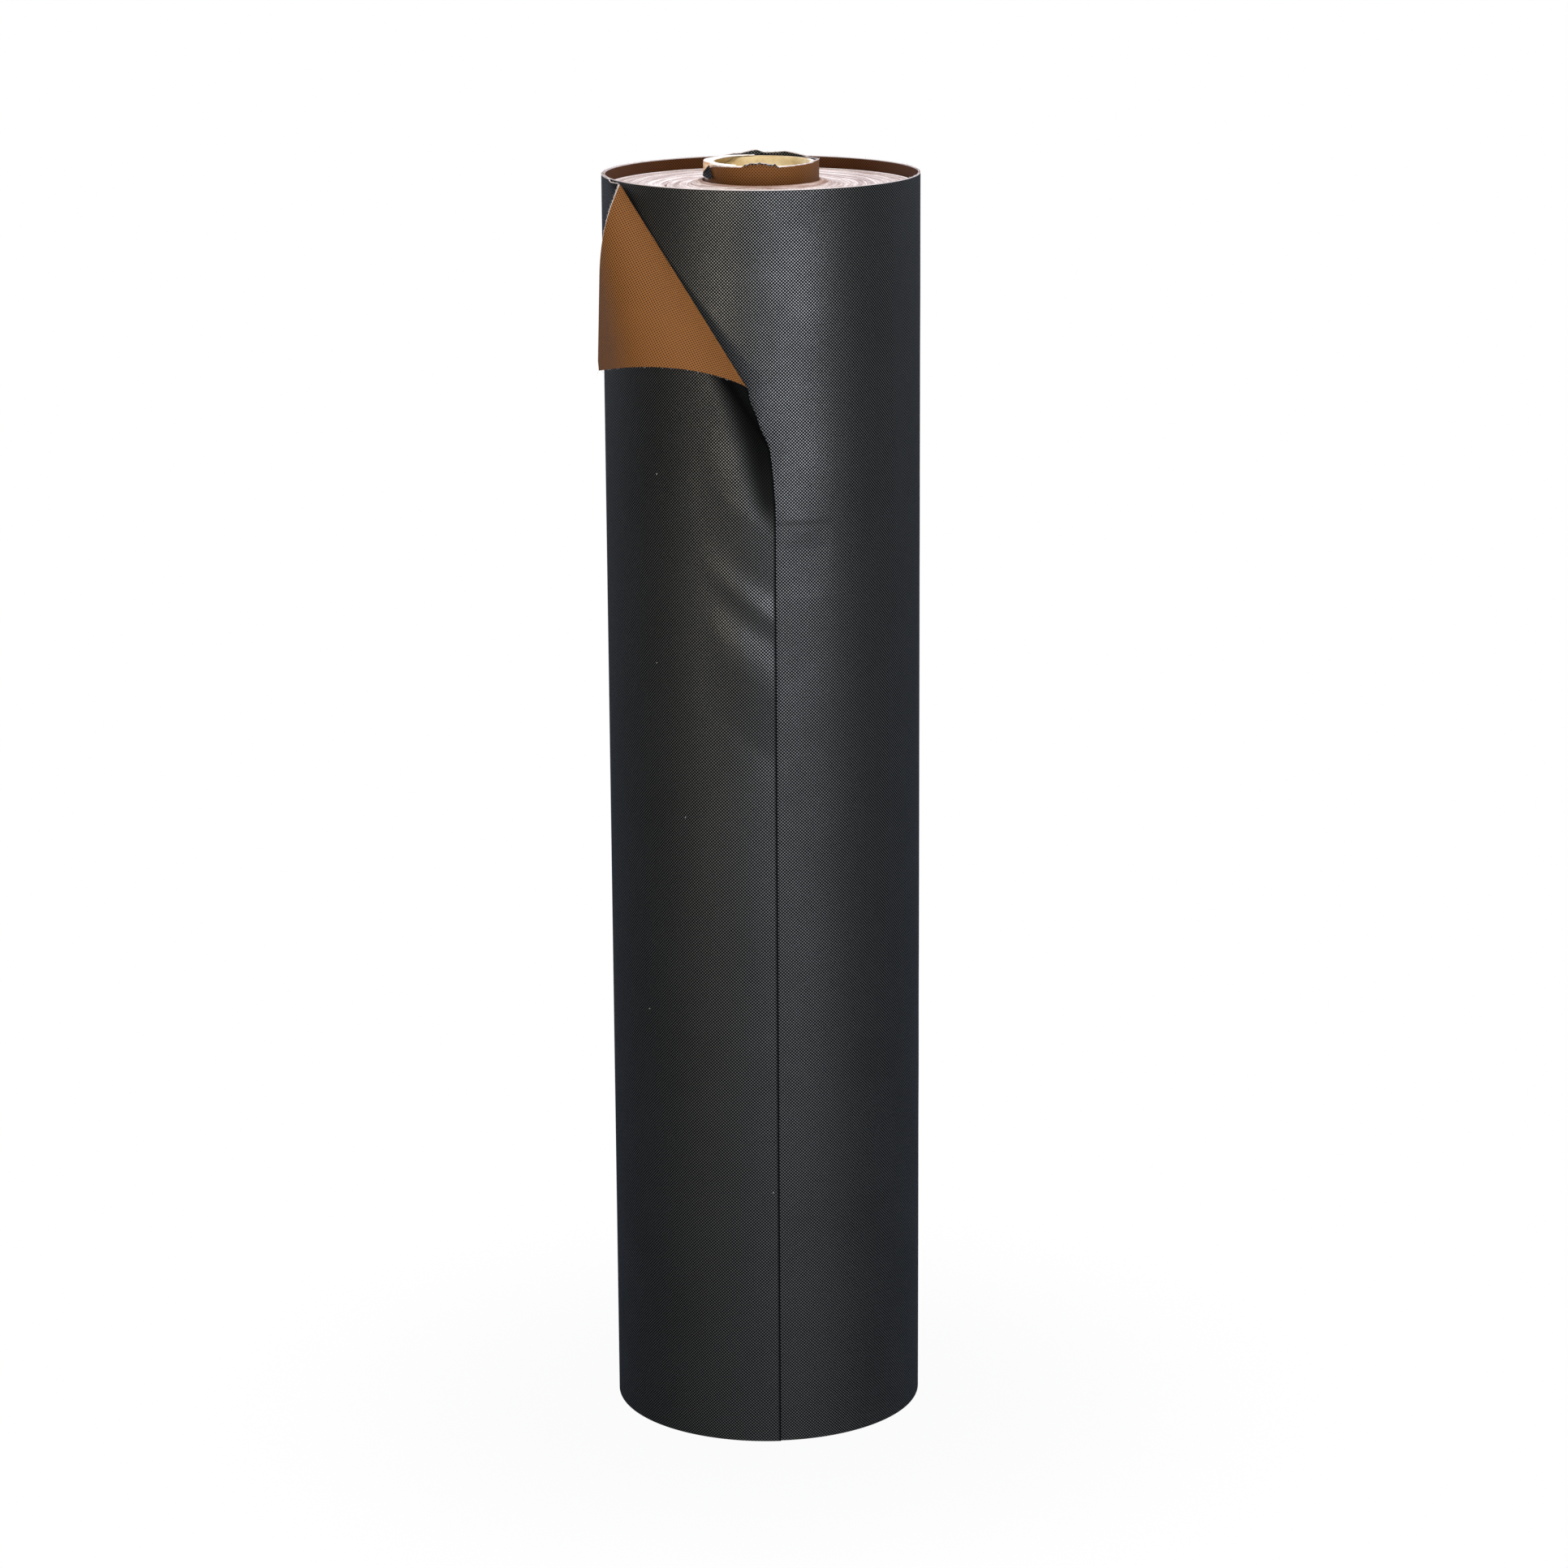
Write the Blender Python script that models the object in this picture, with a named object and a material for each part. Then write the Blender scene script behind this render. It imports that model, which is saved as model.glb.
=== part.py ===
"""Roll of weed control fabric: a paper core, the wound cloth, its loose outer end and the turned-back corner.

The roll stands on its end. Angles run round its axis from the front (-Y), and grow to the right, the way
the cloth is wound. A place on the loose end of the cloth is given on the flat cloth: `across` is the
distance back from its cut end, and `down` the distance below its upper edge.
"""

import math

import bpy
import numpy as np

# Driving dimensions, in metres and degrees.
FABRIC_WIDTH = 1.000
ROLL_RADIUS = 0.124
BORE_RADIUS = 0.0375

# The cloth: two faced, black outside and brown inside.
FABRIC_THICKNESS = 0.0005
TURN_GAP = 0.0006
TURN_PITCH = FABRIC_THICKNESS + TURN_GAP
SEAT_GAP = 0.0003
OUTER_TURNS = 2.2
TURN_STEPS = 72
FLOOR_LIFT = 0.0005

# The core: three plies of board, two of them wound as strips at a slant.
LINER_PLY = 0.0006
TUBE_WALL = 0.0028
OUTER_PLY = 0.0006
PLY_WIDTH = 0.100
PLY_SEAM = 0.0006
PLY_STEPS = 28
TUBE_STEPS = 56
CORE_RISE = 0.0085
TUBE_EDGE_ROUND = 0.0004

# The first turns of cloth on the core, torn at the top.
WRAP_TURNS = 2.0
WRAP_STEPS = 72
WRAP_RAG = 0.005
WRAP_TOP_SHARES = (
    (-180, 0.1), (-160, 0.1), (-125, 0.0), (-105, -0.3), (-94, -2.3), (-66, -2.4), (-57, -0.4),
    (-40, -0.1), (-19, 0.0), (-14, 0.8), (0, 1.0), (12, 0.6), (20, 0.1), (60, 0.1), (90, 0.3),
    (122, -0.2), (150, 0.3), (165, 0.5), (180, 0.1),
)

# The wound cloth between them.
PACK_DROP = 0.0085
PACK_EDGE_ROUND = 0.0015

# The loose end of the cloth.
CUT_END_ANGLE = 4.5
ROOT_ANGLE = -115.0
LEAVE_ANGLE = -38.3
ROOT_GAP = 0.0005

# Lower down it lies on the roll up to an angle, then bends off it by a turn, both in degrees. Each row
# starts with its share of FLARE_DEPTH, the distance below the upper edge at which all of it lies on the roll.
FLARE_DEPTH = 0.272
FLARE_SHARES = (
    (0.00, LEAVE_ANGLE, 0.0), (0.25, -32.0, 14.0), (0.45, -20.0, 36.0), (0.60, -10.0, 44.0),
    (0.72, -5.5, 37.0), (0.85, -1.5, 23.0), (1.00, CUT_END_ANGLE, 0.0),
)
FLARE_EASE_SHARE = 0.04
FLARE_RADIUS = 0.014

# The corner, turned back along a line across the flat cloth, from FOLD_WIDTH along the upper edge to FOLD_DOWN
# along the cut end.
FOLD_WIDTH = 0.130
FOLD_DOWN = 0.147
FOLD_APEX_AHEAD = 0.064
CURL_SLOPE_SHARE = 0.022
CURL_TURN_ANGLE = 98.0
FLAP_SLOPE_SHARE = 0.256
FLAP_TURN_ANGLE = 104.5
SPLIT_GAP = 0.0005
TIP_WIDTH = 0.002
PLANE_BLEND = 0.022
LEAST_ROW = 0.0006

# The cut end isn't square: it stands ahead of a square cut at the tip, and behind it at the fold's lower end.
TIP_OVERHANG_LENGTH = 0.016
FOLD_SETBACK_LENGTH = 0.0076
BEHIND_DEPTH = 0.150
SQUARE_DEPTH = 0.170
EDGE_REACH = 0.040

CURL_ROWS = 4
SPLIT_COLUMNS = 14
ROLL_COLUMNS = 10
DOWN_SHARES = (0.012, 0.024, 0.036, 0.05, 0.065, 0.08, 0.1, 0.12, 0.14, 0.17, 0.22, 0.3, 0.45, 0.7, 1.0)
CURL_RULINGS = 1
FLAP_RULINGS = 13
RULING_STEPS = 9
EDGE_TRIES = 6

# What follows from them.
UP = np.array([0.0, 0.0, 1.0])
LINER_INNER = BORE_RADIUS
TUBE_INNER = LINER_INNER + LINER_PLY + SEAT_GAP
TUBE_OUTER = TUBE_INNER + TUBE_WALL
PLY_INNER = TUBE_OUTER + SEAT_GAP
WRAP_INNER = PLY_INNER + OUTER_PLY + SEAT_GAP
WRAP_OUTER = WRAP_INNER + WRAP_TURNS * TURN_PITCH + FABRIC_THICKNESS
PACK_INNER = WRAP_OUTER + SEAT_GAP
PACK_TOP = FABRIC_WIDTH - PACK_DROP
CORE_TOP = FABRIC_WIDTH + CORE_RISE
TURNS_INNER = ROLL_RADIUS - FABRIC_THICKNESS - TURN_PITCH * (OUTER_TURNS + (CUT_END_ANGLE - ROOT_ANGLE) / 360)
PACK_OUTER = TURNS_INNER - SEAT_GAP


def clear_scene():
    for old in list(bpy.data.objects):
        bpy.data.objects.remove(old, do_unlink=True)


def finish(name, colour, roughness):
    """A plain material with this colour, in linear values."""
    made = bpy.data.materials.new(name)
    made.use_nodes = True
    shader = made.node_tree.nodes["Principled BSDF"]
    shader.inputs["Base Color"].default_value = (*colour, 1.0)
    shader.inputs["Roughness"].default_value = roughness
    shader.inputs["Metallic"].default_value = 0.0
    return made


def mesh_object(name, points, faces, material, origin=(0.0, 0.0, 0.0)):
    """An object with its origin at `origin`, whose points are given in the roll's frame."""
    mesh = bpy.data.meshes.new(name)
    mesh.from_pydata([tuple(point) for point in np.asarray(points) - np.asarray(origin)], [], faces)
    mesh.validate()
    mesh.materials.append(material)
    mesh.shade_smooth()
    mesh.set_sharp_from_angle(angle=math.radians(35))
    made = bpy.data.objects.new(name, mesh)
    made.location = origin
    bpy.context.scene.collection.objects.link(made)
    return made


def sheet_object(name, grid, thickness, material, origin=(0.0, 0.0, 0.0)):
    """A sheet from a grid of points on its outer face; Solidify gives it its thickness inwards."""
    columns, rows = grid.shape[:2]
    faces = []
    for column in range(columns - 1):
        for row in range(rows - 1):
            corner = column * rows + row
            faces.append((corner, corner + 1, corner + rows + 1, corner + rows))
    made = mesh_object(name, grid.reshape(-1, 3), faces, material, origin)
    solidify = made.modifiers.new("thickness", "SOLIDIFY")
    solidify.thickness = thickness
    solidify.offset = -1.0
    solidify.use_even_offset = True
    return made


def turned_ring(name, profile, steps, material):
    """A ring from a closed profile of (radius, height) points, turned about the roll's axis."""
    angles = np.linspace(0.0, 2 * math.pi, steps, endpoint=False)
    points = [around(radius, angle, height) for angle in angles for radius, height in profile]
    count = len(profile)
    faces = []
    for step in range(steps):
        for place in range(count):
            near = step * count
            far = (step + 1) % steps * count
            after = (place + 1) % count
            faces.append((near + place, far + place, far + after, near + after))
    return mesh_object(name, points, faces, material)


def around(radius, angle, height):
    """The point at this angle, in radians from the front."""
    return np.array([radius * math.sin(angle), -radius * math.cos(angle), height])


def round_ends(inner, outer, low, high, edge):
    """A tube wall's profile, from the inside bottom, with its edges broken by `edge`."""
    return (
        (inner + edge, low), (outer - edge, low), (outer, low + edge), (outer, high - edge),
        (outer - edge, high), (inner + edge, high), (inner, high - edge), (inner, low + edge),
    )


# The core.


def slanted_ply(name, inner, ply, material):
    """One strip of board wound round the core at a slant, its edges a seam apart, cut level at both ends."""
    lean = math.asin(PLY_WIDTH / (2 * math.pi * (inner + ply)))
    rise = PLY_WIDTH / math.cos(lean)
    band = rise - PLY_SEAM / math.cos(lean)
    least = PLY_WIDTH / PLY_STEPS
    low = FLOOR_LIFT
    high = CORE_TOP - FLOOR_LIFT
    turns = (high - low + band - 2 * least) / rise
    steps = round(turns * PLY_STEPS)
    grid = []
    for step in range(steps + 1):
        angle = -2 * math.pi * step / PLY_STEPS
        bottom = low - band + least + rise * step / PLY_STEPS
        ends = max(low, bottom), min(high, bottom + band)
        grid.append([around(inner + ply, angle, height) for height in ends])
    return sheet_object(name, np.array(grid), ply, material)


def core_tube(material):
    profile = round_ends(TUBE_INNER, TUBE_OUTER, 0.0, CORE_TOP, TUBE_EDGE_ROUND)
    return turned_ring("core_tube", profile, TUBE_STEPS, material)


def wrap_top(degrees):
    """The torn upper edge of the first turns, at this angle."""
    angles = [angle for angle, share in WRAP_TOP_SHARES]
    shares = [share for angle, share in WRAP_TOP_SHARES]
    turned = (degrees + 180) % 360 - 180
    return CORE_TOP + WRAP_RAG * float(np.interp(turned, angles, shares))


def winding_gap(grid):
    """The least gap between the turns of a spiral sheet, from the points of its outer face."""
    outer = grid[:, 0, :2]
    radii = np.linalg.norm(outer, axis=1)[:, None]
    inner = outer * (radii - FABRIC_THICKNESS) / radii
    starts, sides = inner[:-1], inner[1:] - inner[:-1]
    turned_so_far = np.unwrap(np.arctan2(outer[:, 1], outer[:, 0]))
    least = math.inf
    for point, angle in zip(outer, turned_so_far):
        outside = turned_so_far[:-1] > angle + math.pi
        if not outside.any():
            continue
        start, side = starts[outside], sides[outside]
        along = np.clip(((point - start) * side).sum(axis=1) / (side * side).sum(axis=1), 0.0, 1.0)
        least = min(least, float(np.linalg.norm(start + side * along[:, None] - point, axis=1).min()))
    return least


def core_wrap(material):
    """The first turns of cloth, wound tight on the core."""
    steps = round(WRAP_TURNS * WRAP_STEPS)
    grid = []
    for step in range(steps + 1):
        turn = step / WRAP_STEPS
        angle = 2 * math.pi * turn + math.pi
        radius = WRAP_INNER + FABRIC_THICKNESS + TURN_PITCH * turn
        ends = wrap_top(math.degrees(angle)), FLOOR_LIFT
        grid.append([around(radius, angle, height) for height in ends])
    print("core_wrap's least gap to itself:", round(winding_gap(np.array(grid)), 6))
    return sheet_object("core_wrap", np.array(grid), FABRIC_THICKNESS, material)


# The wound cloth.


def wound_pack(material):
    profile = round_ends(PACK_INNER, PACK_OUTER, 0.0, PACK_TOP, PACK_EDGE_ROUND)
    return turned_ring("wound_pack", profile, TURN_STEPS, material)


def turn_radius(degrees):
    """The outer face's radius at this angle, counted back from the cut end over the turns."""
    return ROLL_RADIUS - TURN_PITCH * (CUT_END_ANGLE - degrees) / 360


def outer_turns(material):
    """The last turns of the wound cloth, one spiral sheet."""
    last = ROOT_ANGLE - math.degrees(ROOT_GAP / ROLL_RADIUS)
    steps = round(OUTER_TURNS * TURN_STEPS)
    grid = []
    for degrees in np.linspace(last - 360 * OUTER_TURNS, last, steps + 1):
        radius = turn_radius(degrees)
        grid.append([around(radius, math.radians(degrees), height) for height in (FABRIC_WIDTH, FLOOR_LIFT)])
    print("outer_turns' least gap to itself:", round(winding_gap(np.array(grid)), 6))
    return sheet_object("outer_turns", np.array(grid), FABRIC_THICKNESS, material)


# The loose end.


def smooth(share):
    held = min(max(share, 0.0), 1.0)
    return held * held * (3 - 2 * held)


def directions(angle):
    """Outwards from the roll and along its turns, at this angle in radians."""
    out = np.array([math.sin(angle), -math.cos(angle), 0.0])
    along = np.array([math.cos(angle), math.sin(angle), 0.0])
    return out, along


def flare(down):
    """How far round the loose end lies on the roll this far down, and its turn off it there, in radians."""
    shares = down / FLARE_DEPTH + FLARE_EASE_SHARE * np.linspace(-1.0, 1.0, 9)
    rows = [row[0] for row in FLARE_SHARES]
    leave, turn = (np.interp(shares, rows, [row[place] for row in FLARE_SHARES]).mean() for place in (1, 2))
    return math.radians(leave), math.radians(turn)


def lying(across, down):
    """The loose end as it lies: round the roll, then bent off it where the corner lifts it."""
    leave, turn = flare(down)
    angle = math.radians(CUT_END_ANGLE) - across / ROLL_RADIUS
    touch = min(angle, leave)
    out, along = directions(touch)
    free = (angle - touch) * ROLL_RADIUS
    bent = min(free / FLARE_RADIUS, turn)
    straight = free - bent * FLARE_RADIUS
    ahead = FLARE_RADIUS * math.sin(bent) + straight * math.cos(bent)
    off = FLARE_RADIUS * (1 - math.cos(bent)) + straight * math.sin(bent)
    radius = turn_radius(math.degrees(touch))
    return out * (radius + off) + along * ahead + UP * (FABRIC_WIDTH - down)


def cut_ahead(down):
    """How far the cut end stands ahead of a square cut, this far down."""
    if down < BEHIND_DEPTH:
        return TIP_OVERHANG_LENGTH - (TIP_OVERHANG_LENGTH + FOLD_SETBACK_LENGTH) * down / BEHIND_DEPTH
    return FOLD_SETBACK_LENGTH * (smooth((down - BEHIND_DEPTH) / (SQUARE_DEPTH - BEHIND_DEPTH)) - 1)


def across_at(column, down):
    """The place across of a column of the loose end, this far down: the first ones follow the cut end."""
    return column - cut_ahead(down) * max(1 - column / EDGE_REACH, 0.0)


class Fold:
    """The turned-back corner, as two cones that share their apex, ahead of the fold's upper end.

    The first is narrow: the curl, 90 degrees of it on the fold line. The second is wide: the flap.
    """

    def __init__(self):
        length = math.hypot(FOLD_WIDTH, FOLD_DOWN)
        self.length = length
        self.flat_along = np.array([FOLD_WIDTH, -FOLD_DOWN]) / length
        self.flat_beyond = np.array([FOLD_DOWN, FOLD_WIDTH]) / length
        self.flat_apex = np.array([-FOLD_WIDTH, 0.0]) - self.flat_along * FOLD_APEX_AHEAD
        leave = math.radians(LEAVE_ANGLE)
        self.out, self.side = directions(leave)
        off_roll = (math.radians(CUT_END_ANGLE) - leave) * ROLL_RADIUS
        radius = turn_radius(LEAVE_ANGLE)
        self.flat_zero = self.out * radius + self.side * off_roll + UP * FABRIC_WIDTH
        self.apex = self.in_plane(self.flat_apex)
        self.along = self.side * self.flat_along[0] + UP * self.flat_along[1]
        self.beyond = self.side * self.flat_beyond[0] + UP * self.flat_beyond[1]
        self.curl_cone = math.atan(CURL_SLOPE_SHARE)
        self.flap_cone = math.atan(FLAP_SLOPE_SHARE)
        self.curl_start = -math.pi / 2 * math.sin(self.curl_cone)
        self.curl_end = self.curl_start + math.radians(CURL_TURN_ANGLE) * math.sin(self.curl_cone)
        self.flap_end = self.curl_end + math.radians(FLAP_TURN_ANGLE) * math.sin(self.flap_cone)

    def in_plane(self, flat):
        """The point of the flat cloth, where the cloth stands straight off the roll."""
        return self.flat_zero + self.side * flat[0] + UP * flat[1]

    def polar(self, across, down):
        """The flat point's distance from the cones' apex, and its angle beyond the fold line."""
        away = np.array([-across, -down]) - self.flat_apex
        return math.hypot(*away), math.atan2(away @ self.flat_beyond, away @ self.flat_along)

    def ruling(self, angle):
        """The straight line of the cloth at this flat angle, and the outward normal beside it."""
        start = min(angle, self.curl_start)
        line = self.along * math.cos(start) + self.beyond * math.sin(start)
        aside = self.beyond * math.cos(start) - self.along * math.sin(start)
        normal = self.out
        for cone, first, last in (
            (self.curl_cone, self.curl_start, self.curl_end),
            (self.flap_cone, self.curl_end, self.flap_end),
        ):
            swing = (min(max(angle, first), last) - first) / math.sin(cone)
            axis = line * math.cos(cone) + normal * math.sin(cone)
            line, aside, normal = (turned(vector, axis, swing) for vector in (line, aside, normal))
        rest = max(angle - self.flap_end, 0.0)
        return line * math.cos(rest) + aside * math.sin(rest), normal

    def curled(self, distance, angle):
        return self.apex + self.ruling(angle)[0] * distance


def turned(vector, axis, angle):
    """The vector turned about the unit axis by this angle, by the right-hand rule."""
    across = np.cross(axis, vector)
    return vector * math.cos(angle) + across * math.sin(angle) + axis * (axis @ vector) * (1 - math.cos(angle))


def tail_point(fold, across, down):
    """The loose end's outer face: on the roll or off it, flat beside the curl, then round the curl."""
    distance, angle = fold.polar(across, down)
    if angle > fold.curl_start:
        return fold.curled(distance, angle)
    flat = fold.in_plane(np.array([-across, -down]))
    behind = distance * math.sin(fold.curl_start - angle)
    share = smooth(1 - behind / PLANE_BLEND)
    return lying(across, down) * (1 - share) + flat * share


def down_on_ruling(fold, column, angle):
    """How far below the upper edge the ruling at this flat angle crosses a column."""
    line = fold.flat_along * math.cos(angle) + fold.flat_beyond * math.sin(angle)
    down = FOLD_DOWN
    for nearer in range(EDGE_TRIES):
        distance = (-across_at(column, down) - fold.flat_apex[0]) / line[0]
        down = -(fold.flat_apex[1] + distance * line[1])
    return down


def tail(fold, material, origin):
    """The loose end, from its root on the roll to the cut end, as far up as the fold line."""
    root = math.radians(CUT_END_ANGLE - ROOT_ANGLE) * ROLL_RADIUS
    lowest = FABRIC_WIDTH - FLOOR_LIFT
    beside = np.linspace(0.0, FOLD_WIDTH, SPLIT_COLUMNS)
    behind = np.linspace(FOLD_WIDTH, root, ROLL_COLUMNS + 1)[1:]
    grid = []
    for column in (*beside, *behind):
        downs = []
        last = -LEAST_ROW
        for row in range(CURL_ROWS + 1):
            angle = fold.curl_start * row / CURL_ROWS
            gap = SPLIT_GAP / 2 if row == 0 else 0.0
            last = max(down_on_ruling(fold, column, angle) + gap, last + LEAST_ROW)
            downs.append(last)
        downs += [last + (lowest - last) * share for share in DOWN_SHARES]
        grid.append([tail_point(fold, across_at(column, down), down) for down in downs])
    return sheet_object("tail", np.array(grid)[::-1], FABRIC_THICKNESS, material, origin)


def corner_ends(fold, angle):
    """Where the ruling at this flat angle crosses the upper edge and the cut end, from the apex."""
    line = fold.flat_along * math.cos(angle) + fold.flat_beyond * math.sin(angle)
    upper = -fold.flat_apex[1] / line[1]
    slant = (TIP_OVERHANG_LENGTH + FOLD_SETBACK_LENGTH) / BEHIND_DEPTH
    cut = (TIP_OVERHANG_LENGTH - fold.flat_apex[0] + fold.flat_apex[1] * slant) / (line[0] - line[1] * slant)
    return upper, cut


def turned_corner(fold, material, origin):
    """The corner beyond the fold line: the rest of the curl, and the flap to its tip."""
    first = SPLIT_GAP / 2 / fold.length
    tip_distance, tip = fold.polar(-TIP_OVERHANG_LENGTH, 0.0)
    last = tip - TIP_WIDTH / tip_distance
    angles = (
        *np.linspace(first, fold.curl_end, CURL_RULINGS + 1)[:-1],
        *np.linspace(fold.curl_end, last, FLAP_RULINGS + 1),
    )
    grid = []
    for angle in angles:
        near, far = corner_ends(fold, angle)
        distances = np.linspace(near, far, RULING_STEPS)
        grid.append([fold.curled(distance, angle) for distance in distances])
    return sheet_object("turned_corner", np.array(grid), FABRIC_THICKNESS, material, origin)


def points_of(made):
    """The points of an object in its parent's frame, with its modifiers."""
    graph = bpy.context.evaluated_depsgraph_get()
    mesh = made.evaluated_get(graph).to_mesh()
    points = np.array([made.location + vertex.co for vertex in mesh.vertices])
    made.evaluated_get(graph).to_mesh_clear()
    return points


def main():
    clear_scene()
    board = finish("kraft_board", (0.50, 0.36, 0.20), 0.9)
    cream = finish("liner_board", (0.66, 0.52, 0.33), 0.9)
    pale = finish("outer_board", (0.72, 0.62, 0.48), 0.9)
    black = finish("black_cloth", (0.022, 0.023, 0.025), 0.7)
    brown = finish("brown_cloth", (0.23, 0.105, 0.045), 0.75)
    edges = finish("cloth_edges", (0.36, 0.24, 0.19), 0.9)

    fold = Fold()
    root = around(turn_radius(ROOT_ANGLE), math.radians(ROOT_ANGLE), 0.0)
    line, normal = fold.ruling(0.0)
    split = fold.apex + line * (FOLD_APEX_AHEAD + fold.length / 2) - normal * FABRIC_THICKNESS
    pieces = [
        slanted_ply("core_liner", LINER_INNER, LINER_PLY, cream),
        core_tube(board),
        slanted_ply("core_outer_ply", PLY_INNER, OUTER_PLY, pale),
        core_wrap(brown),
        wound_pack(edges),
        outer_turns(black),
        tail(fold, black, root),
        turned_corner(fold, brown, split),
    ]

    # The roll's axis stands off the origin, so that the whole part's box is centred over it.
    bpy.context.view_layer.update()
    every = np.concatenate([points_of(made) for made in pieces])
    low, high = every.min(axis=0), every.max(axis=0)
    stand = bpy.data.objects.new("stand", None)
    stand.location = (-(low[0] + high[0]) / 2, -(low[1] + high[1]) / 2, 0.0)
    bpy.context.scene.collection.objects.link(stand)
    for made in pieces:
        made.parent = stand
    bpy.context.view_layer.update()

    place = np.array(stand.location)
    print("roll axis at", np.round(place, 5), "box", np.round(high - low, 5))
    print("tail_peel pivot", np.round(root + place, 5), "axis", -UP)
    print("corner_fold pivot", np.round(split + place, 5), "axis", np.round(-line, 5))


main()
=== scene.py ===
# %% [markdown]
# # A roll of weed control fabric
# The object is one long strip of nonwoven cloth, black on one face and brown on the other, wound on a paper core.
# It stands on its end. The loose end of the strip lies round the left half, and its upper corner is turned back.
# The imported CAD model comes first, because each piece below is set in its frame, and most of them move with one of
# its bodies.

# %% Load the imported frame
import math
import random

import bmesh
import bpy
import numpy as np
from mathutils import Matrix, Vector, noise


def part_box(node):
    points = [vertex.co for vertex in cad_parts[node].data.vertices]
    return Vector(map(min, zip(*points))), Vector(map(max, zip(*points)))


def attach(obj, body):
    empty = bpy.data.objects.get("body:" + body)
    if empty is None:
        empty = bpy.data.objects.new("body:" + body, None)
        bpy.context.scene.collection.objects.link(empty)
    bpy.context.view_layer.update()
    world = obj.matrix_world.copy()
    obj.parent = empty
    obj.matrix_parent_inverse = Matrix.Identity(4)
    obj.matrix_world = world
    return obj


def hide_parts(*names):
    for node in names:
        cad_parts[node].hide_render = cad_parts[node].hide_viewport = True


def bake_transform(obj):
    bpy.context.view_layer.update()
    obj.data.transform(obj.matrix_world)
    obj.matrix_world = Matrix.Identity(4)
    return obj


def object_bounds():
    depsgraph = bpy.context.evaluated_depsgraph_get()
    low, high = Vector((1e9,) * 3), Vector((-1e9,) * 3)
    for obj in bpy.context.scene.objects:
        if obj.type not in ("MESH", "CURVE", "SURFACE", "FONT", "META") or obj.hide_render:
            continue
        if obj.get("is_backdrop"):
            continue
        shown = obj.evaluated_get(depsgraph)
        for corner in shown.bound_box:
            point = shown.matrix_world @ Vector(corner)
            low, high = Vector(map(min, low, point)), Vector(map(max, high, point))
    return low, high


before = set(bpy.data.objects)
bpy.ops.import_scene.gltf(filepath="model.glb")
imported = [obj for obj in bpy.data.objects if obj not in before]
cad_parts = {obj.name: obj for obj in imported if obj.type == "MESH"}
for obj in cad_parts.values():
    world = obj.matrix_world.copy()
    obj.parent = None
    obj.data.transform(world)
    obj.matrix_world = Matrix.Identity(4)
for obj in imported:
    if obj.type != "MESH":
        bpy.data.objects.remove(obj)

cad_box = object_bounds()
bpy.ops.object.select_all(action="DESELECT")
core_low, core_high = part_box("core_tube")
AXIS = (core_low + core_high) / 2
AXIS.z = 0.0

# %% [markdown]
# ## The camera
# The lens, height and tilt were fitted to the roll's outline in the photograph, which is 1932 pixels square.
# The picture is turned by a third of a degree, which is put in as a roll of the camera about its own line of sight.

# %% Camera
SENSOR_WIDTH = 36.0
PHOTO_WIDTH = 1932
FOCAL_PIXELS = 5483.4
CAMERA_PITCH = 14.0911
CAMERA_ROLL = 0.3133
CAMERA_PLACE = Vector((0.0150, -3.4527, 1.3787))

lens = bpy.data.cameras.new("photo_camera")
lens.sensor_width = SENSOR_WIDTH
lens.lens = FOCAL_PIXELS * SENSOR_WIDTH / PHOTO_WIDTH
lens.clip_end = 60.0
camera = bpy.data.objects.new("photo_camera", lens)
tilt = Matrix.Rotation(math.radians(90 - CAMERA_PITCH), 4, "X")
twist = Matrix.Rotation(math.radians(-CAMERA_ROLL), 4, "Z")
camera.matrix_world = Matrix.Translation(AXIS + CAMERA_PLACE) @ tilt @ twist
bpy.context.scene.collection.objects.link(camera)
bpy.context.scene.camera = camera
print("lens", round(lens.lens, 2), "mm, camera at", [round(value, 4) for value in camera.location])

# %% [markdown]
# ## Colours and nodes
# A colour is written the way a picture shows it, as a hex value, and Blender's nodes want it linear.
# The material cells below all use one small function that adds a node, gives it its settings and links it up.

# %% Helpers for materials


def linear(code):
    """A picture's hex colour as linear red, green, blue and alpha, by the sRGB curve."""
    shown = [int(code[start:start + 2], 16) / 255 for start in (1, 3, 5)]
    straight = (part / 12.92 if part <= 0.04045 else ((part + 0.055) / 1.055) ** 2.4 for part in shown)
    return (*straight, 1.0)


def add(tree, kind, settings=None, output=0, **links):
    """Adds a node and gives back one of its outputs, by number or name. Settings are the node's own properties, and
    links are its inputs, i and a number or else a name, each as a value or as another node's output."""
    node = tree.nodes.new(kind)
    for key, value in (settings or {}).items():
        setattr(node, key, value)
    for key, value in links.items():
        place = int(key[1:]) if key[0] == "i" and key[1:].isdigit() else key.replace("_", " ")
        if isinstance(value, bpy.types.NodeSocket):
            tree.links.new(value, node.inputs[place])
        else:
            node.inputs[place].default_value = value
    return node.outputs[output]


def new_material(name, roughness=0.5, specular=0.5, **fixed):
    """An empty material with one Principled shader; what is the same all over is set on its own sockets."""
    made = bpy.data.materials.new(name)
    made.use_nodes = True
    shader = made.node_tree.nodes["Principled BSDF"]
    shader.inputs["Roughness"].default_value = roughness
    shader.inputs["Specular IOR Level"].default_value = specular
    for key, value in fixed.items():
        shader.inputs[key.replace("_", " ")].default_value = value
    return made, made.node_tree, shader


print("a picture's mid grey #808080 is", round(linear("#808080")[0], 3), "in linear light")

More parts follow.
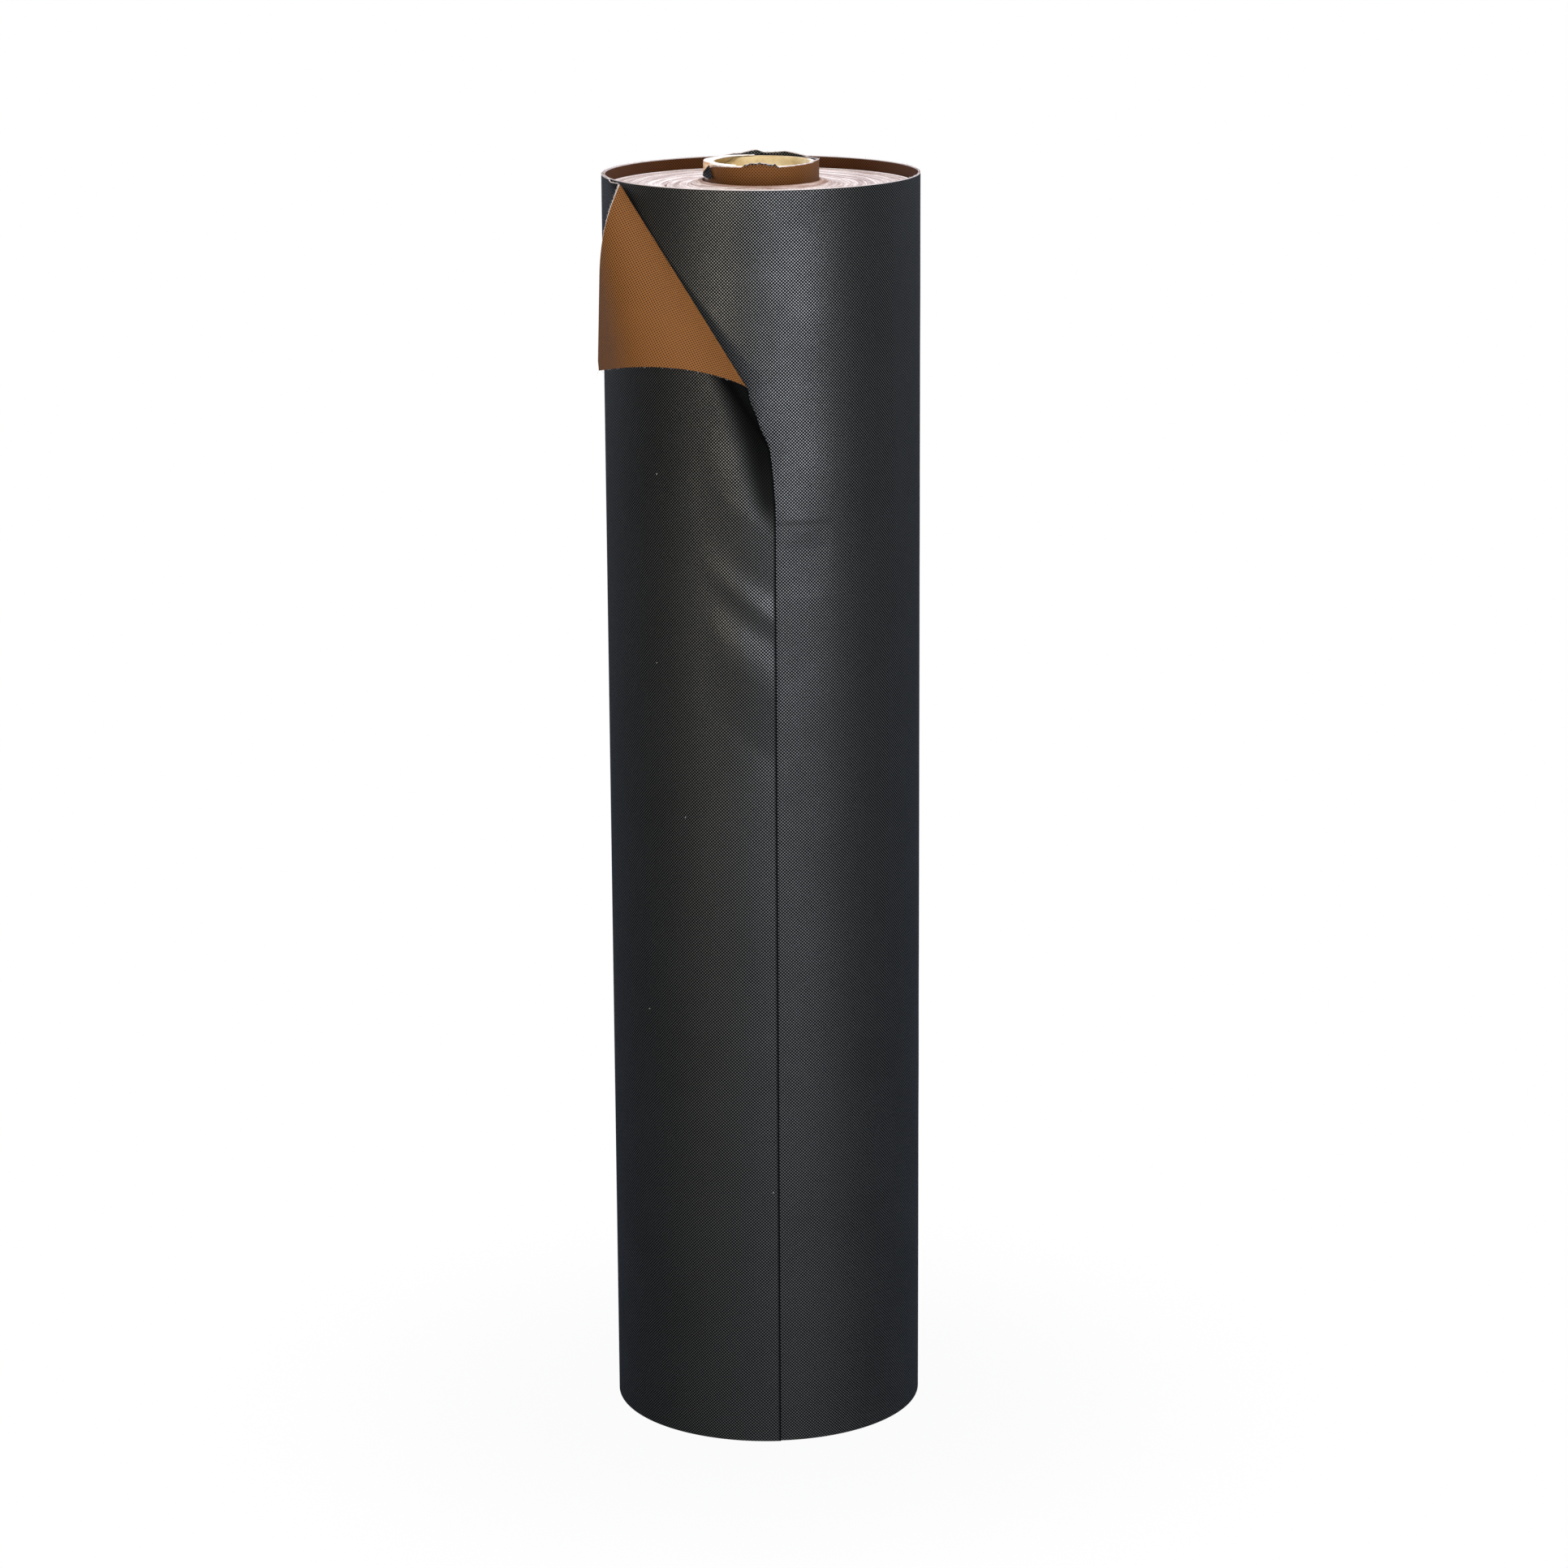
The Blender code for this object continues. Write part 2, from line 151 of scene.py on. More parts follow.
# %% [markdown]
# ## The cloth
# Spunbond polypropylene: fine endless filaments, laid at random and welded together at thousands of small points.
# To the eye it is a dull, slightly cloudy face with a chequer of small marks, because the weld points are pressed
# smooth. On the black face they catch the light, and on the brown face they are darker, because the black layer shows
# through. The pattern is drawn on the flat cloth's own map, in metres, so it follows every fold.

# %% Cloth material
# The weld points are 2.5 mm apart, as in the photograph, and the filaments bunch every 0.6 mm. The rows of weld points
# wander by up to 0.6 mm within 11 mm, and the cloth has thicker and thinner places some 70 mm across.
BOND_ALONG = 0.00251
BOND_ACROSS = 0.00243
FILAMENT_SCALE = 1 / 0.0006
DRIFT_SCALE = 90.0
DRIFT_REACH = 0.0006
CLOUD_SCALE = 14.0
CLOTH_RELIEF = 0.0002


def cloth_material(name, colours, roughness, specular):
    """The cloth's face. Colours are the ground's, the weld points' and the frayed edge's; the other pairs give the
    ground's and the weld points' roughness and specular level."""
    made, tree, shader = new_material(name)
    flat = add(tree, "ShaderNodeUVMap", {"uv_map": "flat_cloth"})
    drift = add(tree, "ShaderNodeTexNoise", Vector=flat, Scale=DRIFT_SCALE, Detail=2.0)
    shift = add(tree, "ShaderNodeVectorMath", {"operation": "SCALE"}, i0=drift, Scale=DRIFT_REACH)
    place = add(tree, "ShaderNodeVectorMath", {"operation": "ADD"}, i0=flat, i1=shift)
    split = add(tree, "ShaderNodeSeparateXYZ", i0=place).node
    waves = []
    for output, pitch in ((split.outputs[0], BOND_ALONG), (split.outputs[1], BOND_ACROSS)):
        angle = add(tree, "ShaderNodeMath", {"operation": "MULTIPLY"}, i0=output, i1=2 * math.pi / pitch)
        waves.append(add(tree, "ShaderNodeMath", {"operation": "COSINE"}, i0=angle))
    product = add(tree, "ShaderNodeMath", {"operation": "MULTIPLY"}, i0=waves[0], i1=waves[1])
    welds = add(tree, "ShaderNodeMapRange", {"interpolation_type": "SMOOTHSTEP"}, i0=product, i1=0.0, i2=0.5)
    filaments = add(tree, "ShaderNodeTexNoise", Vector=flat, Scale=FILAMENT_SCALE, Detail=3.0, Roughness=0.7)
    clouds = add(tree, "ShaderNodeTexNoise", Vector=flat, Scale=CLOUD_SCALE, Detail=4.0, Roughness=0.6)
    patchy = add(tree, "ShaderNodeMapRange", i0=clouds, i1=0.3, i2=0.7, i3=0.8, i4=1.1)
    # The shine attribute holds how much the weld points show; it also carries painted shade, where less of their
    # lighter colour and gloss shows.
    shine_and_painted_shade = add(tree, "ShaderNodeAttribute", {"attribute_name": "shine_and_painted_shade"}, "Fac")
    patchy = add(tree, "ShaderNodeMath", {"operation": "MULTIPLY"}, i0=patchy, i1=shine_and_painted_shade)
    amount = add(tree, "ShaderNodeMath", {"operation": "MULTIPLY"}, i0=welds, i1=patchy)
    ground, weld, frayed = (linear(code) for code in colours)
    face = add(tree, "ShaderNodeMix", {"data_type": "RGBA"}, 2, i0=amount, i6=ground, i7=weld)
    grain = add(tree, "ShaderNodeMapRange", i0=filaments, i1=0.3, i2=0.7, i3=0.75, i4=1.25)
    grained = add(tree, "ShaderNodeVectorMath", {"operation": "SCALE"}, i0=face, Scale=grain)
    edge = add(tree, "ShaderNodeAttribute", {"attribute_name": "frayed"}, "Fac")
    fray = add(tree, "ShaderNodeMapRange", i0=edge, i1=0.35, i2=0.8, i3=0.0, i4=0.85)
    colour = add(tree, "ShaderNodeMix", {"data_type": "RGBA"}, 2, i0=fray, i6=grained, i7=frayed)
    tree.links.new(colour, shader.inputs["Base Color"])
    for socket, (low, high) in (("Roughness", roughness), ("Specular IOR Level", specular)):
        value = add(tree, "ShaderNodeMath", {"operation": "MULTIPLY_ADD"}, i0=amount, i1=high - low, i2=low)
        tree.links.new(value, shader.inputs[socket])
    relief = add(tree, "ShaderNodeMath", {"operation": "MULTIPLY_ADD"}, i0=filaments, i1=0.5, i2=welds)
    bump = add(tree, "ShaderNodeBump", Strength=0.12, Distance=CLOTH_RELIEF, Height=relief)
    tree.links.new(bump, shader.inputs["Normal"])
    return made


PALE_FRAY = "#d9cfcb"
black_face = cloth_material("spunbond_black", ("#040505", "#363735", PALE_FRAY), (0.75, 0.4), (0.05, 1.0))
brown_face = cloth_material("spunbond_brown", ("#6b4522", "#241004", PALE_FRAY), (0.8, 0.7), (0.08, 0.12))
# The outer turns' inner face: a darker copy of the brown face, as painted shade at the back of the roll.
painted_shade_brown = cloth_material(
    "spunbond_brown_painted_shade", ("#52311a", "#1e1006", PALE_FRAY), (0.85, 0.8), (0.05, 0.08),
)
print("cloth faces", black_face.name, brown_face.name, painted_shade_brown.name)

# %% [markdown]
# ## Where the strip of cloth lies
# The sizes below repeat the CAD source. Angles run round the roll's axis from the front, and grow to the right, the
# way the cloth is wound. A place on the loose end is given on the flat cloth: `across` is the distance back from the
# cut end, and `down` the distance below the upper edge.

# %% Sizes of the roll
FABRIC_WIDTH = 1.000
ROLL_RADIUS = 0.124
FABRIC_THICKNESS = 0.0005
TURN_PITCH = 0.0011
OUTER_TURNS = 2.2
FLOOR_LIFT = 0.0005
CUT_END_ANGLE = 4.5
ROOT_ANGLE = -115.0
EDGE_ROW = 0.0008
UP = np.array([0.0, 0.0, 1.0])


def around(radius, angle, height):
    """The point at this angle, in radians from the front, with the roll's axis at the origin."""
    return np.array([radius * math.sin(angle), -radius * math.cos(angle), height])


def turn_radius(degrees):
    """The outer face's radius at this angle, counted back from the cut end over the turns."""
    return ROLL_RADIUS - TURN_PITCH * (CUT_END_ANGLE - degrees) / 360


def smooth(share):
    """The share, held between 0 and 1 and eased at both ends."""
    held = min(max(share, 0.0), 1.0)
    return held * held * (3 - 2 * held)


def window(value, low, high, ease):
    """1 between two values and 0 outside them, with soft ends."""
    return smooth((value - low) / ease + 0.5) * smooth((high - value) / ease + 0.5)


def cloud(across, up, size, seed):
    """A smooth uneven value from about -1 to 1, with bumps of this size, the same each run."""
    return noise.noise(Vector((across / size, up / size, seed)))


print("outer face at the root:", round(turn_radius(ROOT_ANGLE) * 1000, 2), "mm")

# %% [markdown]
# ## Making a sheet
# A sheet is a grid of points on the cloth's outer face. Each point keeps its flat place as a UV map, a value that is 1
# on a slit edge, where the filaments fray, and how much the weld points shine there, which also carries painted shade.
# A subdivided plane could be bent by modifiers, but a grid that is worked out point by point holds the cloth's real
# length. Solidify then gives the cloth its inner face and its edge.

# %% Sheet helpers
SHARP_ANGLE = 50
OUTER_FACE, INNER_FACE, SLIT_FACE = 0, 1, 2


def apply_modifiers(piece):
    """Applies what the piece's modifiers say, in their order."""
    bpy.ops.object.select_all(action="DESELECT")
    bpy.context.view_layer.objects.active = piece
    piece.select_set(True)
    for modifier in list(piece.modifiers):
        bpy.ops.object.modifier_apply(modifier=modifier.name)
    piece.select_set(False)


def sheet(name, grid, flat, frayed, finishes, thickness=FABRIC_THICKNESS, shine_and_painted_shade=None):
    """A cloth from a grid of outer points, with its flat places and its frayed edges. The finishes are those of the
    outer face, the inner face and a frayed edge; an edge that isn't frayed has the outer face's. The last argument is
    how much the weld points shine, lowered where shade is painted; it is 1 where none is given."""
    columns, rows = grid.shape[:2]
    shine_and_painted_shade = np.ones((columns, rows)) if shine_and_painted_shade is None else shine_and_painted_shade
    first = (np.arange(columns - 1)[:, None] * rows + np.arange(rows - 1)[None, :]).ravel()
    faces = np.stack([first, first + 1, first + rows + 1, first + rows], axis=1)
    mesh = bpy.data.meshes.new(name)
    mesh.from_pydata((grid.reshape(-1, 3) + np.array(AXIS)).tolist(), [], faces.tolist())
    corners = np.zeros(len(mesh.loops), int)
    mesh.loops.foreach_get("vertex_index", corners)
    places = mesh.uv_layers.new(name="flat_cloth")
    places.data.foreach_set("uv", flat.reshape(-1, 2)[corners].ravel())
    for layer, values in (("frayed", frayed), ("shine_and_painted_shade", shine_and_painted_shade)):
        mesh.attributes.new(layer, "FLOAT", "POINT").data.foreach_set("value", values.astype(np.float32).ravel())
    for finish in finishes:
        mesh.materials.append(finish)
    mesh.shade_smooth()
    piece = bpy.data.objects.new(name, mesh)
    bpy.context.scene.collection.objects.link(piece)
    solidify = piece.modifiers.new("thickness", "SOLIDIFY")
    solidify.thickness = thickness
    solidify.offset = -1.0
    solidify.use_even_offset = True
    solidify.material_offset = INNER_FACE
    solidify.material_offset_rim = SLIT_FACE
    apply_modifiers(piece)
    fray = piece.data.attributes["frayed"].data
    for polygon in piece.data.polygons:
        if polygon.material_index == SLIT_FACE and min(fray[place].value for place in polygon.vertices) < 0.5:
            polygon.material_index = OUTER_FACE
    piece.data.set_sharp_from_angle(angle=math.radians(SHARP_ANGLE))
    print(name, len(piece.data.polygons), "faces")
    return piece


# %% [markdown]
# ## The slit edge and its loose filaments
# The strip was slit from a wider web. The slit edge is a pale pinkish fuzz of both faces' filament ends, which
# scatters the light and has no gloss. Single filaments of bare polypropylene, a little shinier, stand out of it.

# %% Slit edge materials
SLIT_FUZZ_SCALE = 1400.0
cut_edge, tree, shader = new_material("cut_filaments", 0.9, 0.2)
spot = add(tree, "ShaderNodeTexCoord", None, "Object")
fuzz = add(tree, "ShaderNodeTexNoise", Vector=spot, Scale=SLIT_FUZZ_SCALE, Detail=2.0)
tint = add(
    tree, "ShaderNodeMix", {"data_type": "RGBA"}, 2, i0=fuzz, i6=linear("#8f726a"), i7=linear("#efe4e1"),
)
tree.links.new(tint, shader.inputs["Base Color"])
bump = add(tree, "ShaderNodeBump", Strength=0.5, Distance=CLOTH_RELIEF, Height=fuzz)
tree.links.new(bump, shader.inputs["Normal"])
FINISHES = (black_face, brown_face, cut_edge)

filament, tree, shader = new_material("loose_filament", 0.6, 0.4)
shader.inputs["Base Color"].default_value = linear("#d8d0cc")
print("edge materials", cut_edge.name, filament.name)

# %% [markdown]
# ## Single filaments
# A real one is about 0.02 mm thick, too fine to show, so each is drawn as a tube 0.1 mm thick. Hair particles could
# give them too, but a curve with a round bevel turns into a plain mesh, which moves as the cloth does.
# One series of random numbers, seeded once, serves all of them, so each run gives the same filaments.

# %% Loose filaments
STRAND_STEPS = 5
STRAND_RADIUS = 0.00005
STRAND_WANDER = 0.5
SHORTEST_SHARE = 0.25
THREAD_RADIUS = 0.00012
chance = random.Random(11)


def strands(name, roots, radius=STRAND_RADIUS):
    """Loose filaments, as thin tubes. Each root is a place, the way the filament leaves it, and its length."""
    curve = bpy.data.curves.new(name, "CURVE")
    curve.dimensions = "3D"
    curve.bevel_depth = radius
    curve.bevel_resolution = 0
    for place, way, length in roots:
        spline = curve.splines.new("POLY")
        spline.points.add(STRAND_STEPS - 1)
        spot = np.array(place) + np.array(AXIS)
        turn = np.array(way, float)
        for point in spline.points:
            point.co = (*spot, 1.0)
            turn = turn + np.array([chance.uniform(-STRAND_WANDER, STRAND_WANDER) for _ in range(3)])
            spot = spot + turn / np.linalg.norm(turn) * length / (STRAND_STEPS - 1)
    piece = bpy.data.objects.new(name, curve)
    bpy.context.scene.collection.objects.link(piece)
    bpy.ops.object.select_all(action="DESELECT")
    bpy.context.view_layer.objects.active = piece
    piece.select_set(True)
    bpy.ops.object.convert(target="MESH")
    piece.select_set(False)
    piece.data.materials.append(filament)
    print(name, len(roots), "filaments")
    return piece


def edge_roots(edge, inside, count, longest):
    """Roots of filaments along an edge, leaving it away from the line of points inside it."""
    roots = []
    for _ in range(count):
        spot = chance.uniform(0, len(edge) - 1.001)
        first, share = int(spot), spot % 1.0
        start = edge[first] * (1 - share) + edge[first + 1] * share
        away = edge[first] - inside[first]
        roots.append((start, away / np.linalg.norm(away), longest * chance.uniform(SHORTEST_SHARE, 1.0)))
    return roots


# %% [markdown]
# ## The outer turns
# The last turns stand about 8.5 mm above the rest, so their brown inner face shows at the back, over the roll's end.
# That inner face gets a darker copy of the brown, which is painted shade.
# They are one spiral sheet, which rides with the roll: single rings would leave out the step between the turns. Right
# of the cut end, a shallow dent starts at a short crease.

# %% The dent in the outer turns
# The dent's depth at these heights, and where it lies round the roll: from, to and its soft ends, in degrees. The rows
# of the sheet, as the first height, the last and their number, stand close together where the dent is.
CREASE_HEIGHTS = (0.688, 0.727, 0.742, 0.7452, 0.7484, 0.752)
CREASE_DEPTHS = (0.0, 0.0009, 0.00042, 0.00036, 0.00002, 0.0)
CREASE_WINDOW = (5.0, 23.0, 7.0)
TURN_ROWS = ((FABRIC_WIDTH - 0.006, 0.765, 14), (0.760, 0.680, 52), (0.665, FLOOR_LIFT, 40))
turn_heights = np.concatenate([
    [FABRIC_WIDTH, FABRIC_WIDTH - EDGE_ROW, FABRIC_WIDTH - 3 * EDGE_ROW],
    *(np.linspace(*rows) for rows in TURN_ROWS),
])


def crease(degrees, height):
    """How deep the dent is, in the outermost turn."""
    if degrees < ROOT_ANGLE - 360:
        return 0.0
    depth = float(np.interp(height, CREASE_HEIGHTS, CREASE_DEPTHS))
    return depth * window(degrees + 360, *CREASE_WINDOW)


print("the dent is", max(CREASE_DEPTHS) * 1000, "mm deep")

# %% Outer turns
TURN_STEPS = 168
SWELL_DEPTH = 0.00012
SWELL_SIZE = 0.07
turn_angles = np.linspace(ROOT_ANGLE - 360 * OUTER_TURNS, ROOT_ANGLE, round(OUTER_TURNS * TURN_STEPS) + 1)
grid, flat, frayed = [], [], []
for degrees in turn_angles:
    along = -math.radians(CUT_END_ANGLE - degrees) * ROLL_RADIUS
    column = []
    for height in turn_heights:
        swell = SWELL_DEPTH * cloud(along, height, SWELL_SIZE, 3.0) - crease(degrees, height)
        column.append(around(turn_radius(degrees) + swell, math.radians(degrees), height))
    grid.append(column)
    flat.append([(along, height) for height in turn_heights])
    frayed.append([1.0 if height == FABRIC_WIDTH else 0.0 for height in turn_heights])
outer_cloth = sheet(
    "outer_turns_cloth", np.array(grid), np.array(flat), np.array(frayed), (black_face, painted_shade_brown, cut_edge),
)
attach(outer_cloth, "roll")
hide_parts("outer_turns")
last_turn = np.array(grid)[-TURN_STEPS:]
roots = edge_roots(last_turn[:, 0], last_turn[:, 1], count=260, longest=0.0016)
outer_fuzz = strands("outer_turns_filaments", roots)
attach(outer_fuzz, "roll")

# %% [markdown]
# ## How the corner folds
# Paper and cloth bend along straight lines. A turned-back corner is two cones that share their apex: a narrow one,
# which is the curl along the fold, and a wide one, which is the flap. Below the fold the loose end lies on the roll
# up to an angle, then flares off it, and lower down it lies on the roll over its whole width. A cloth simulation would
# crumple the corner another way each time its settings change, while the cones keep the flap where the photograph has
# it and stretch nothing.

# %% Sizes of the fold
# The flare's rows give the depth as a share, the angle where the cloth leaves the roll, and its turn off it.
LEAVE_ANGLE = -38.3
FLARE_DEPTH = 0.272
FLARE_SHARES = (
    (0.00, LEAVE_ANGLE, 0.0), (0.25, -32.0, 14.0), (0.45, -20.0, 36.0), (0.60, -10.0, 44.0),
    (0.72, -5.5, 37.0), (0.85, -1.5, 23.0), (1.00, CUT_END_ANGLE, 0.0),
)
FLARE_EASE_SHARE = 0.04
FLARE_RADIUS = 0.014
FOLD_WIDTH = 0.130
FOLD_DOWN = 0.147
FOLD_APEX_AHEAD = 0.064
CURL_SLOPE_SHARE = 0.022
CURL_TURN_ANGLE = 98.0
FLAP_SLOPE_SHARE = 0.256
FLAP_TURN_ANGLE = 104.5
PLANE_BLEND = 0.022
TIP_OVERHANG = 0.016
FOLD_SETBACK = 0.0076
BEHIND_DEPTH = 0.150
SQUARE_DEPTH = 0.170
EDGE_REACH = 0.040
EDGE_TRIES = 6
print("the fold is", round(math.hypot(FOLD_WIDTH, FOLD_DOWN) * 1000, 1), "mm long")

# %% The loose end as it lies


def directions(angle):
    """Outwards from the roll and along its turns, at this angle in radians."""
    out = np.array([math.sin(angle), -math.cos(angle), 0.0])
    along = np.array([math.cos(angle), math.sin(angle), 0.0])
    return out, along


def turned(vector, axis, angle):
    """The vector turned about the unit axis by this angle, by the right-hand rule."""
    across = np.cross(axis, vector)
    return vector * math.cos(angle) + across * math.sin(angle) + axis * (axis @ vector) * (1 - math.cos(angle))


def flare(down):
    """How far round the loose end lies on the roll this far down, and its turn off it there, in radians."""
    shares = down / FLARE_DEPTH + FLARE_EASE_SHARE * np.linspace(-1.0, 1.0, 9)
    rows = [row[0] for row in FLARE_SHARES]
    leave, turn = (np.interp(shares, rows, [row[place] for row in FLARE_SHARES]).mean() for place in (1, 2))
    return math.radians(leave), math.radians(turn)


def lying(across, down):
    """The loose end as it lies: round the roll, then bent off it where the corner lifts it."""
    leave, turn = flare(down)
    angle = math.radians(CUT_END_ANGLE) - across / ROLL_RADIUS
    touch = min(angle, leave)
    out, along = directions(touch)
    free = (angle - touch) * ROLL_RADIUS
    bent = min(free / FLARE_RADIUS, turn)
    straight = free - bent * FLARE_RADIUS
    ahead = FLARE_RADIUS * math.sin(bent) + straight * math.cos(bent)
    off = FLARE_RADIUS * (1 - math.cos(bent)) + straight * math.sin(bent)
    radius = turn_radius(math.degrees(touch))
    return out * (radius + off) + along * ahead + UP * (FABRIC_WIDTH - down)


def cut_ahead(down):
    """How far the cut end stands ahead of a square cut, this far down."""
    if down < BEHIND_DEPTH:
        return TIP_OVERHANG - (TIP_OVERHANG + FOLD_SETBACK) * down / BEHIND_DEPTH
    return FOLD_SETBACK * (smooth((down - BEHIND_DEPTH) / (SQUARE_DEPTH - BEHIND_DEPTH)) - 1)


def across_at(column, down):
    """The place across of a column of the loose end, this far down: the first ones follow the cut end."""
    return column - cut_ahead(down) * max(1 - column / EDGE_REACH, 0.0)


print("the tip stands", round(cut_ahead(0.0) * 1000, 1), "mm ahead of a square cut")

# %% The cones of the fold


class Fold:
    """The turned-back corner, as two cones that share their apex, ahead of the fold's upper end."""

    def __init__(self):
        self.length = math.hypot(FOLD_WIDTH, FOLD_DOWN)
        self.flat_along = np.array([FOLD_WIDTH, -FOLD_DOWN]) / self.length
        self.flat_beyond = np.array([FOLD_DOWN, FOLD_WIDTH]) / self.length
        self.flat_apex = np.array([-FOLD_WIDTH, 0.0]) - self.flat_along * FOLD_APEX_AHEAD
        leave = math.radians(LEAVE_ANGLE)
        self.out, self.side = directions(leave)
        off_roll = (math.radians(CUT_END_ANGLE) - leave) * ROLL_RADIUS
        self.flat_zero = self.out * turn_radius(LEAVE_ANGLE) + self.side * off_roll + UP * FABRIC_WIDTH
        self.apex = self.in_plane(self.flat_apex)
        self.along = self.side * self.flat_along[0] + UP * self.flat_along[1]
        self.beyond = self.side * self.flat_beyond[0] + UP * self.flat_beyond[1]
        self.curl_cone = math.atan(CURL_SLOPE_SHARE)
        self.flap_cone = math.atan(FLAP_SLOPE_SHARE)
        self.curl_start = -math.pi / 2 * math.sin(self.curl_cone)
        self.curl_end = self.curl_start + math.radians(CURL_TURN_ANGLE) * math.sin(self.curl_cone)
        self.flap_end = self.curl_end + math.radians(FLAP_TURN_ANGLE) * math.sin(self.flap_cone)

    def in_plane(self, flat):
        """The point of the flat cloth, where the cloth stands straight off the roll."""
        return self.flat_zero + self.side * flat[0] + UP * flat[1]

    def polar(self, across, down):
        """The flat point's distance from the cones' apex, and its angle beyond the fold line."""
        away = np.array([-across, -down]) - self.flat_apex
        return math.hypot(*away), math.atan2(away @ self.flat_beyond, away @ self.flat_along)

    def flat_line(self, angle):
        """The flat cloth's straight line from the apex at this angle beyond the fold line."""
        return self.flat_along * math.cos(angle) + self.flat_beyond * math.sin(angle)

    def ruling(self, angle):
        """Where that line points once the cloth is folded."""
        start = min(angle, self.curl_start)
        line = self.along * math.cos(start) + self.beyond * math.sin(start)
        aside = self.beyond * math.cos(start) - self.along * math.sin(start)
        normal = self.out
        for cone, first, last in (
            (self.curl_cone, self.curl_start, self.curl_end),
            (self.flap_cone, self.curl_end, self.flap_end),
        ):
            swing = (min(max(angle, first), last) - first) / math.sin(cone)
            axis = line * math.cos(cone) + normal * math.sin(cone)
            line, aside, normal = (turned(vector, axis, swing) for vector in (line, aside, normal))
        rest = max(angle - self.flap_end, 0.0)
        return line * math.cos(rest) + aside * math.sin(rest)


fold = Fold()

# %% [markdown]
# ## The loose end
# It runs from its root, behind the left outline, to the cut end at the front, and up to the middle of the curl.
# Its upper rows follow the curl's straight lines, so the edge that it shares with the turned-back corner is the same
# line of points in both. Just below the flare the cloth isn't quite tight, and low ridges catch the light. They are
# few and have known places, so they are heights along the cut end and not a noise.

# %% Ridges and shade
# How far the cut end stands off the roll on its low ridges, in millimetres, at these heights. The ridges rise to the
# left by the slant, and die out a little way from the cut end. The weld points shine less on the flared strip, as
# painted shade.
RIDGE_HEIGHTS = (0.560, 0.615, 0.628, 0.648, 0.656, 0.670, 0.674, 0.686, 0.695, 0.737, 0.760, 0.790)
RIDGE_PROUD = (0.0, 2.9, 2.9, 0.7, 0.8, 2.2, 2.1, 0.5, 0.5, 3.2, 2.2, 0.0)
RIDGE_EASE = 0.004
RIDGE_SLANT = 0.75
RIDGE_REACH = 0.062
RIDGE_FADE = 0.040
# Painted shade on the flared strip: the weld shine kept there, the turn at which the shade is full, and how far before
# the cloth leaves the roll it starts, with its soft end.
STRIP_SHINE_IN_PAINTED_SHADE = 0.12
PAINTED_SHADE_FULL_TURN = 22.0
PAINTED_SHADE_BEFORE = 0.013
PAINTED_SHADE_EASE = 0.017


def ridged(across, down):
    """How far the loose end stands off the roll on its ridges."""
    heights = FABRIC_WIDTH - down - RIDGE_SLANT * across + RIDGE_EASE * np.linspace(-1.0, 1.0, 7)
    proud = np.interp(heights, RIDGE_HEIGHTS, RIDGE_PROUD).mean() / 1000
    return proud * smooth((RIDGE_REACH - across) / RIDGE_FADE)


def shine_with_painted_shade(column, across, down):
    """How much the weld points shine, with painted shade: none along the cut end, which paints a dark line there, and
    little on the flared strip, which lies in shade.
    """
    if column <= EDGE_ROW:
        return 0.0
    leave, turn = flare(down)
    angle = math.radians(CUT_END_ANGLE) - across / ROLL_RADIUS
    past = (angle - leave) * ROLL_RADIUS
    painted_shade = smooth((past + PAINTED_SHADE_BEFORE) / PAINTED_SHADE_EASE) * smooth(turn / math.radians(PAINTED_SHADE_FULL_TURN))
    return 1 - (1 - STRIP_SHINE_IN_PAINTED_SHADE) * painted_shade


print("the ridges stand up to", max(RIDGE_PROUD), "mm off the roll")

# %% Points of the loose end


def down_on_ruling(column, angle):
    """How far below the upper edge the curl's line at this flat angle crosses a column."""
    line = fold.flat_line(angle)
    down = FOLD_DOWN
    for _ in range(EDGE_TRIES):
        distance = (-across_at(column, down) - fold.flat_apex[0]) / line[0]
        down = -(fold.flat_apex[1] + distance * line[1])
    return down


def loose_point(across, down):
    """The loose end's outer face: on the roll or off it, flat beside the curl, then round the curl."""
    distance, angle = fold.polar(across, down)
    if angle > fold.curl_start:
        return fold.apex + fold.ruling(angle) * distance
    plane = fold.in_plane(np.array([-across, -down]))
    behind = distance * math.sin(fold.curl_start - angle)
    share = smooth(1 - behind / PLANE_BLEND)
    out = directions(math.radians(CUT_END_ANGLE) - across / ROLL_RADIUS)[0]
    return (lying(across, down) + out * ridged(across, down)) * (1 - share) + plane * share


root_across = math.radians(CUT_END_ANGLE - ROOT_ANGLE) * ROLL_RADIUS
print("the loose end is", round(root_across * 1000, 1), "mm wide, from root to cut end")

# %% Loose end
CURL_ROWS = 12
LOOSE_STEPS_BESIDE = 60
LOOSE_STEPS_BEHIND = 48
ROW_STRETCHES = ((0.200, 22), (0.450, 76), (FABRIC_WIDTH - FLOOR_LIFT, 40))

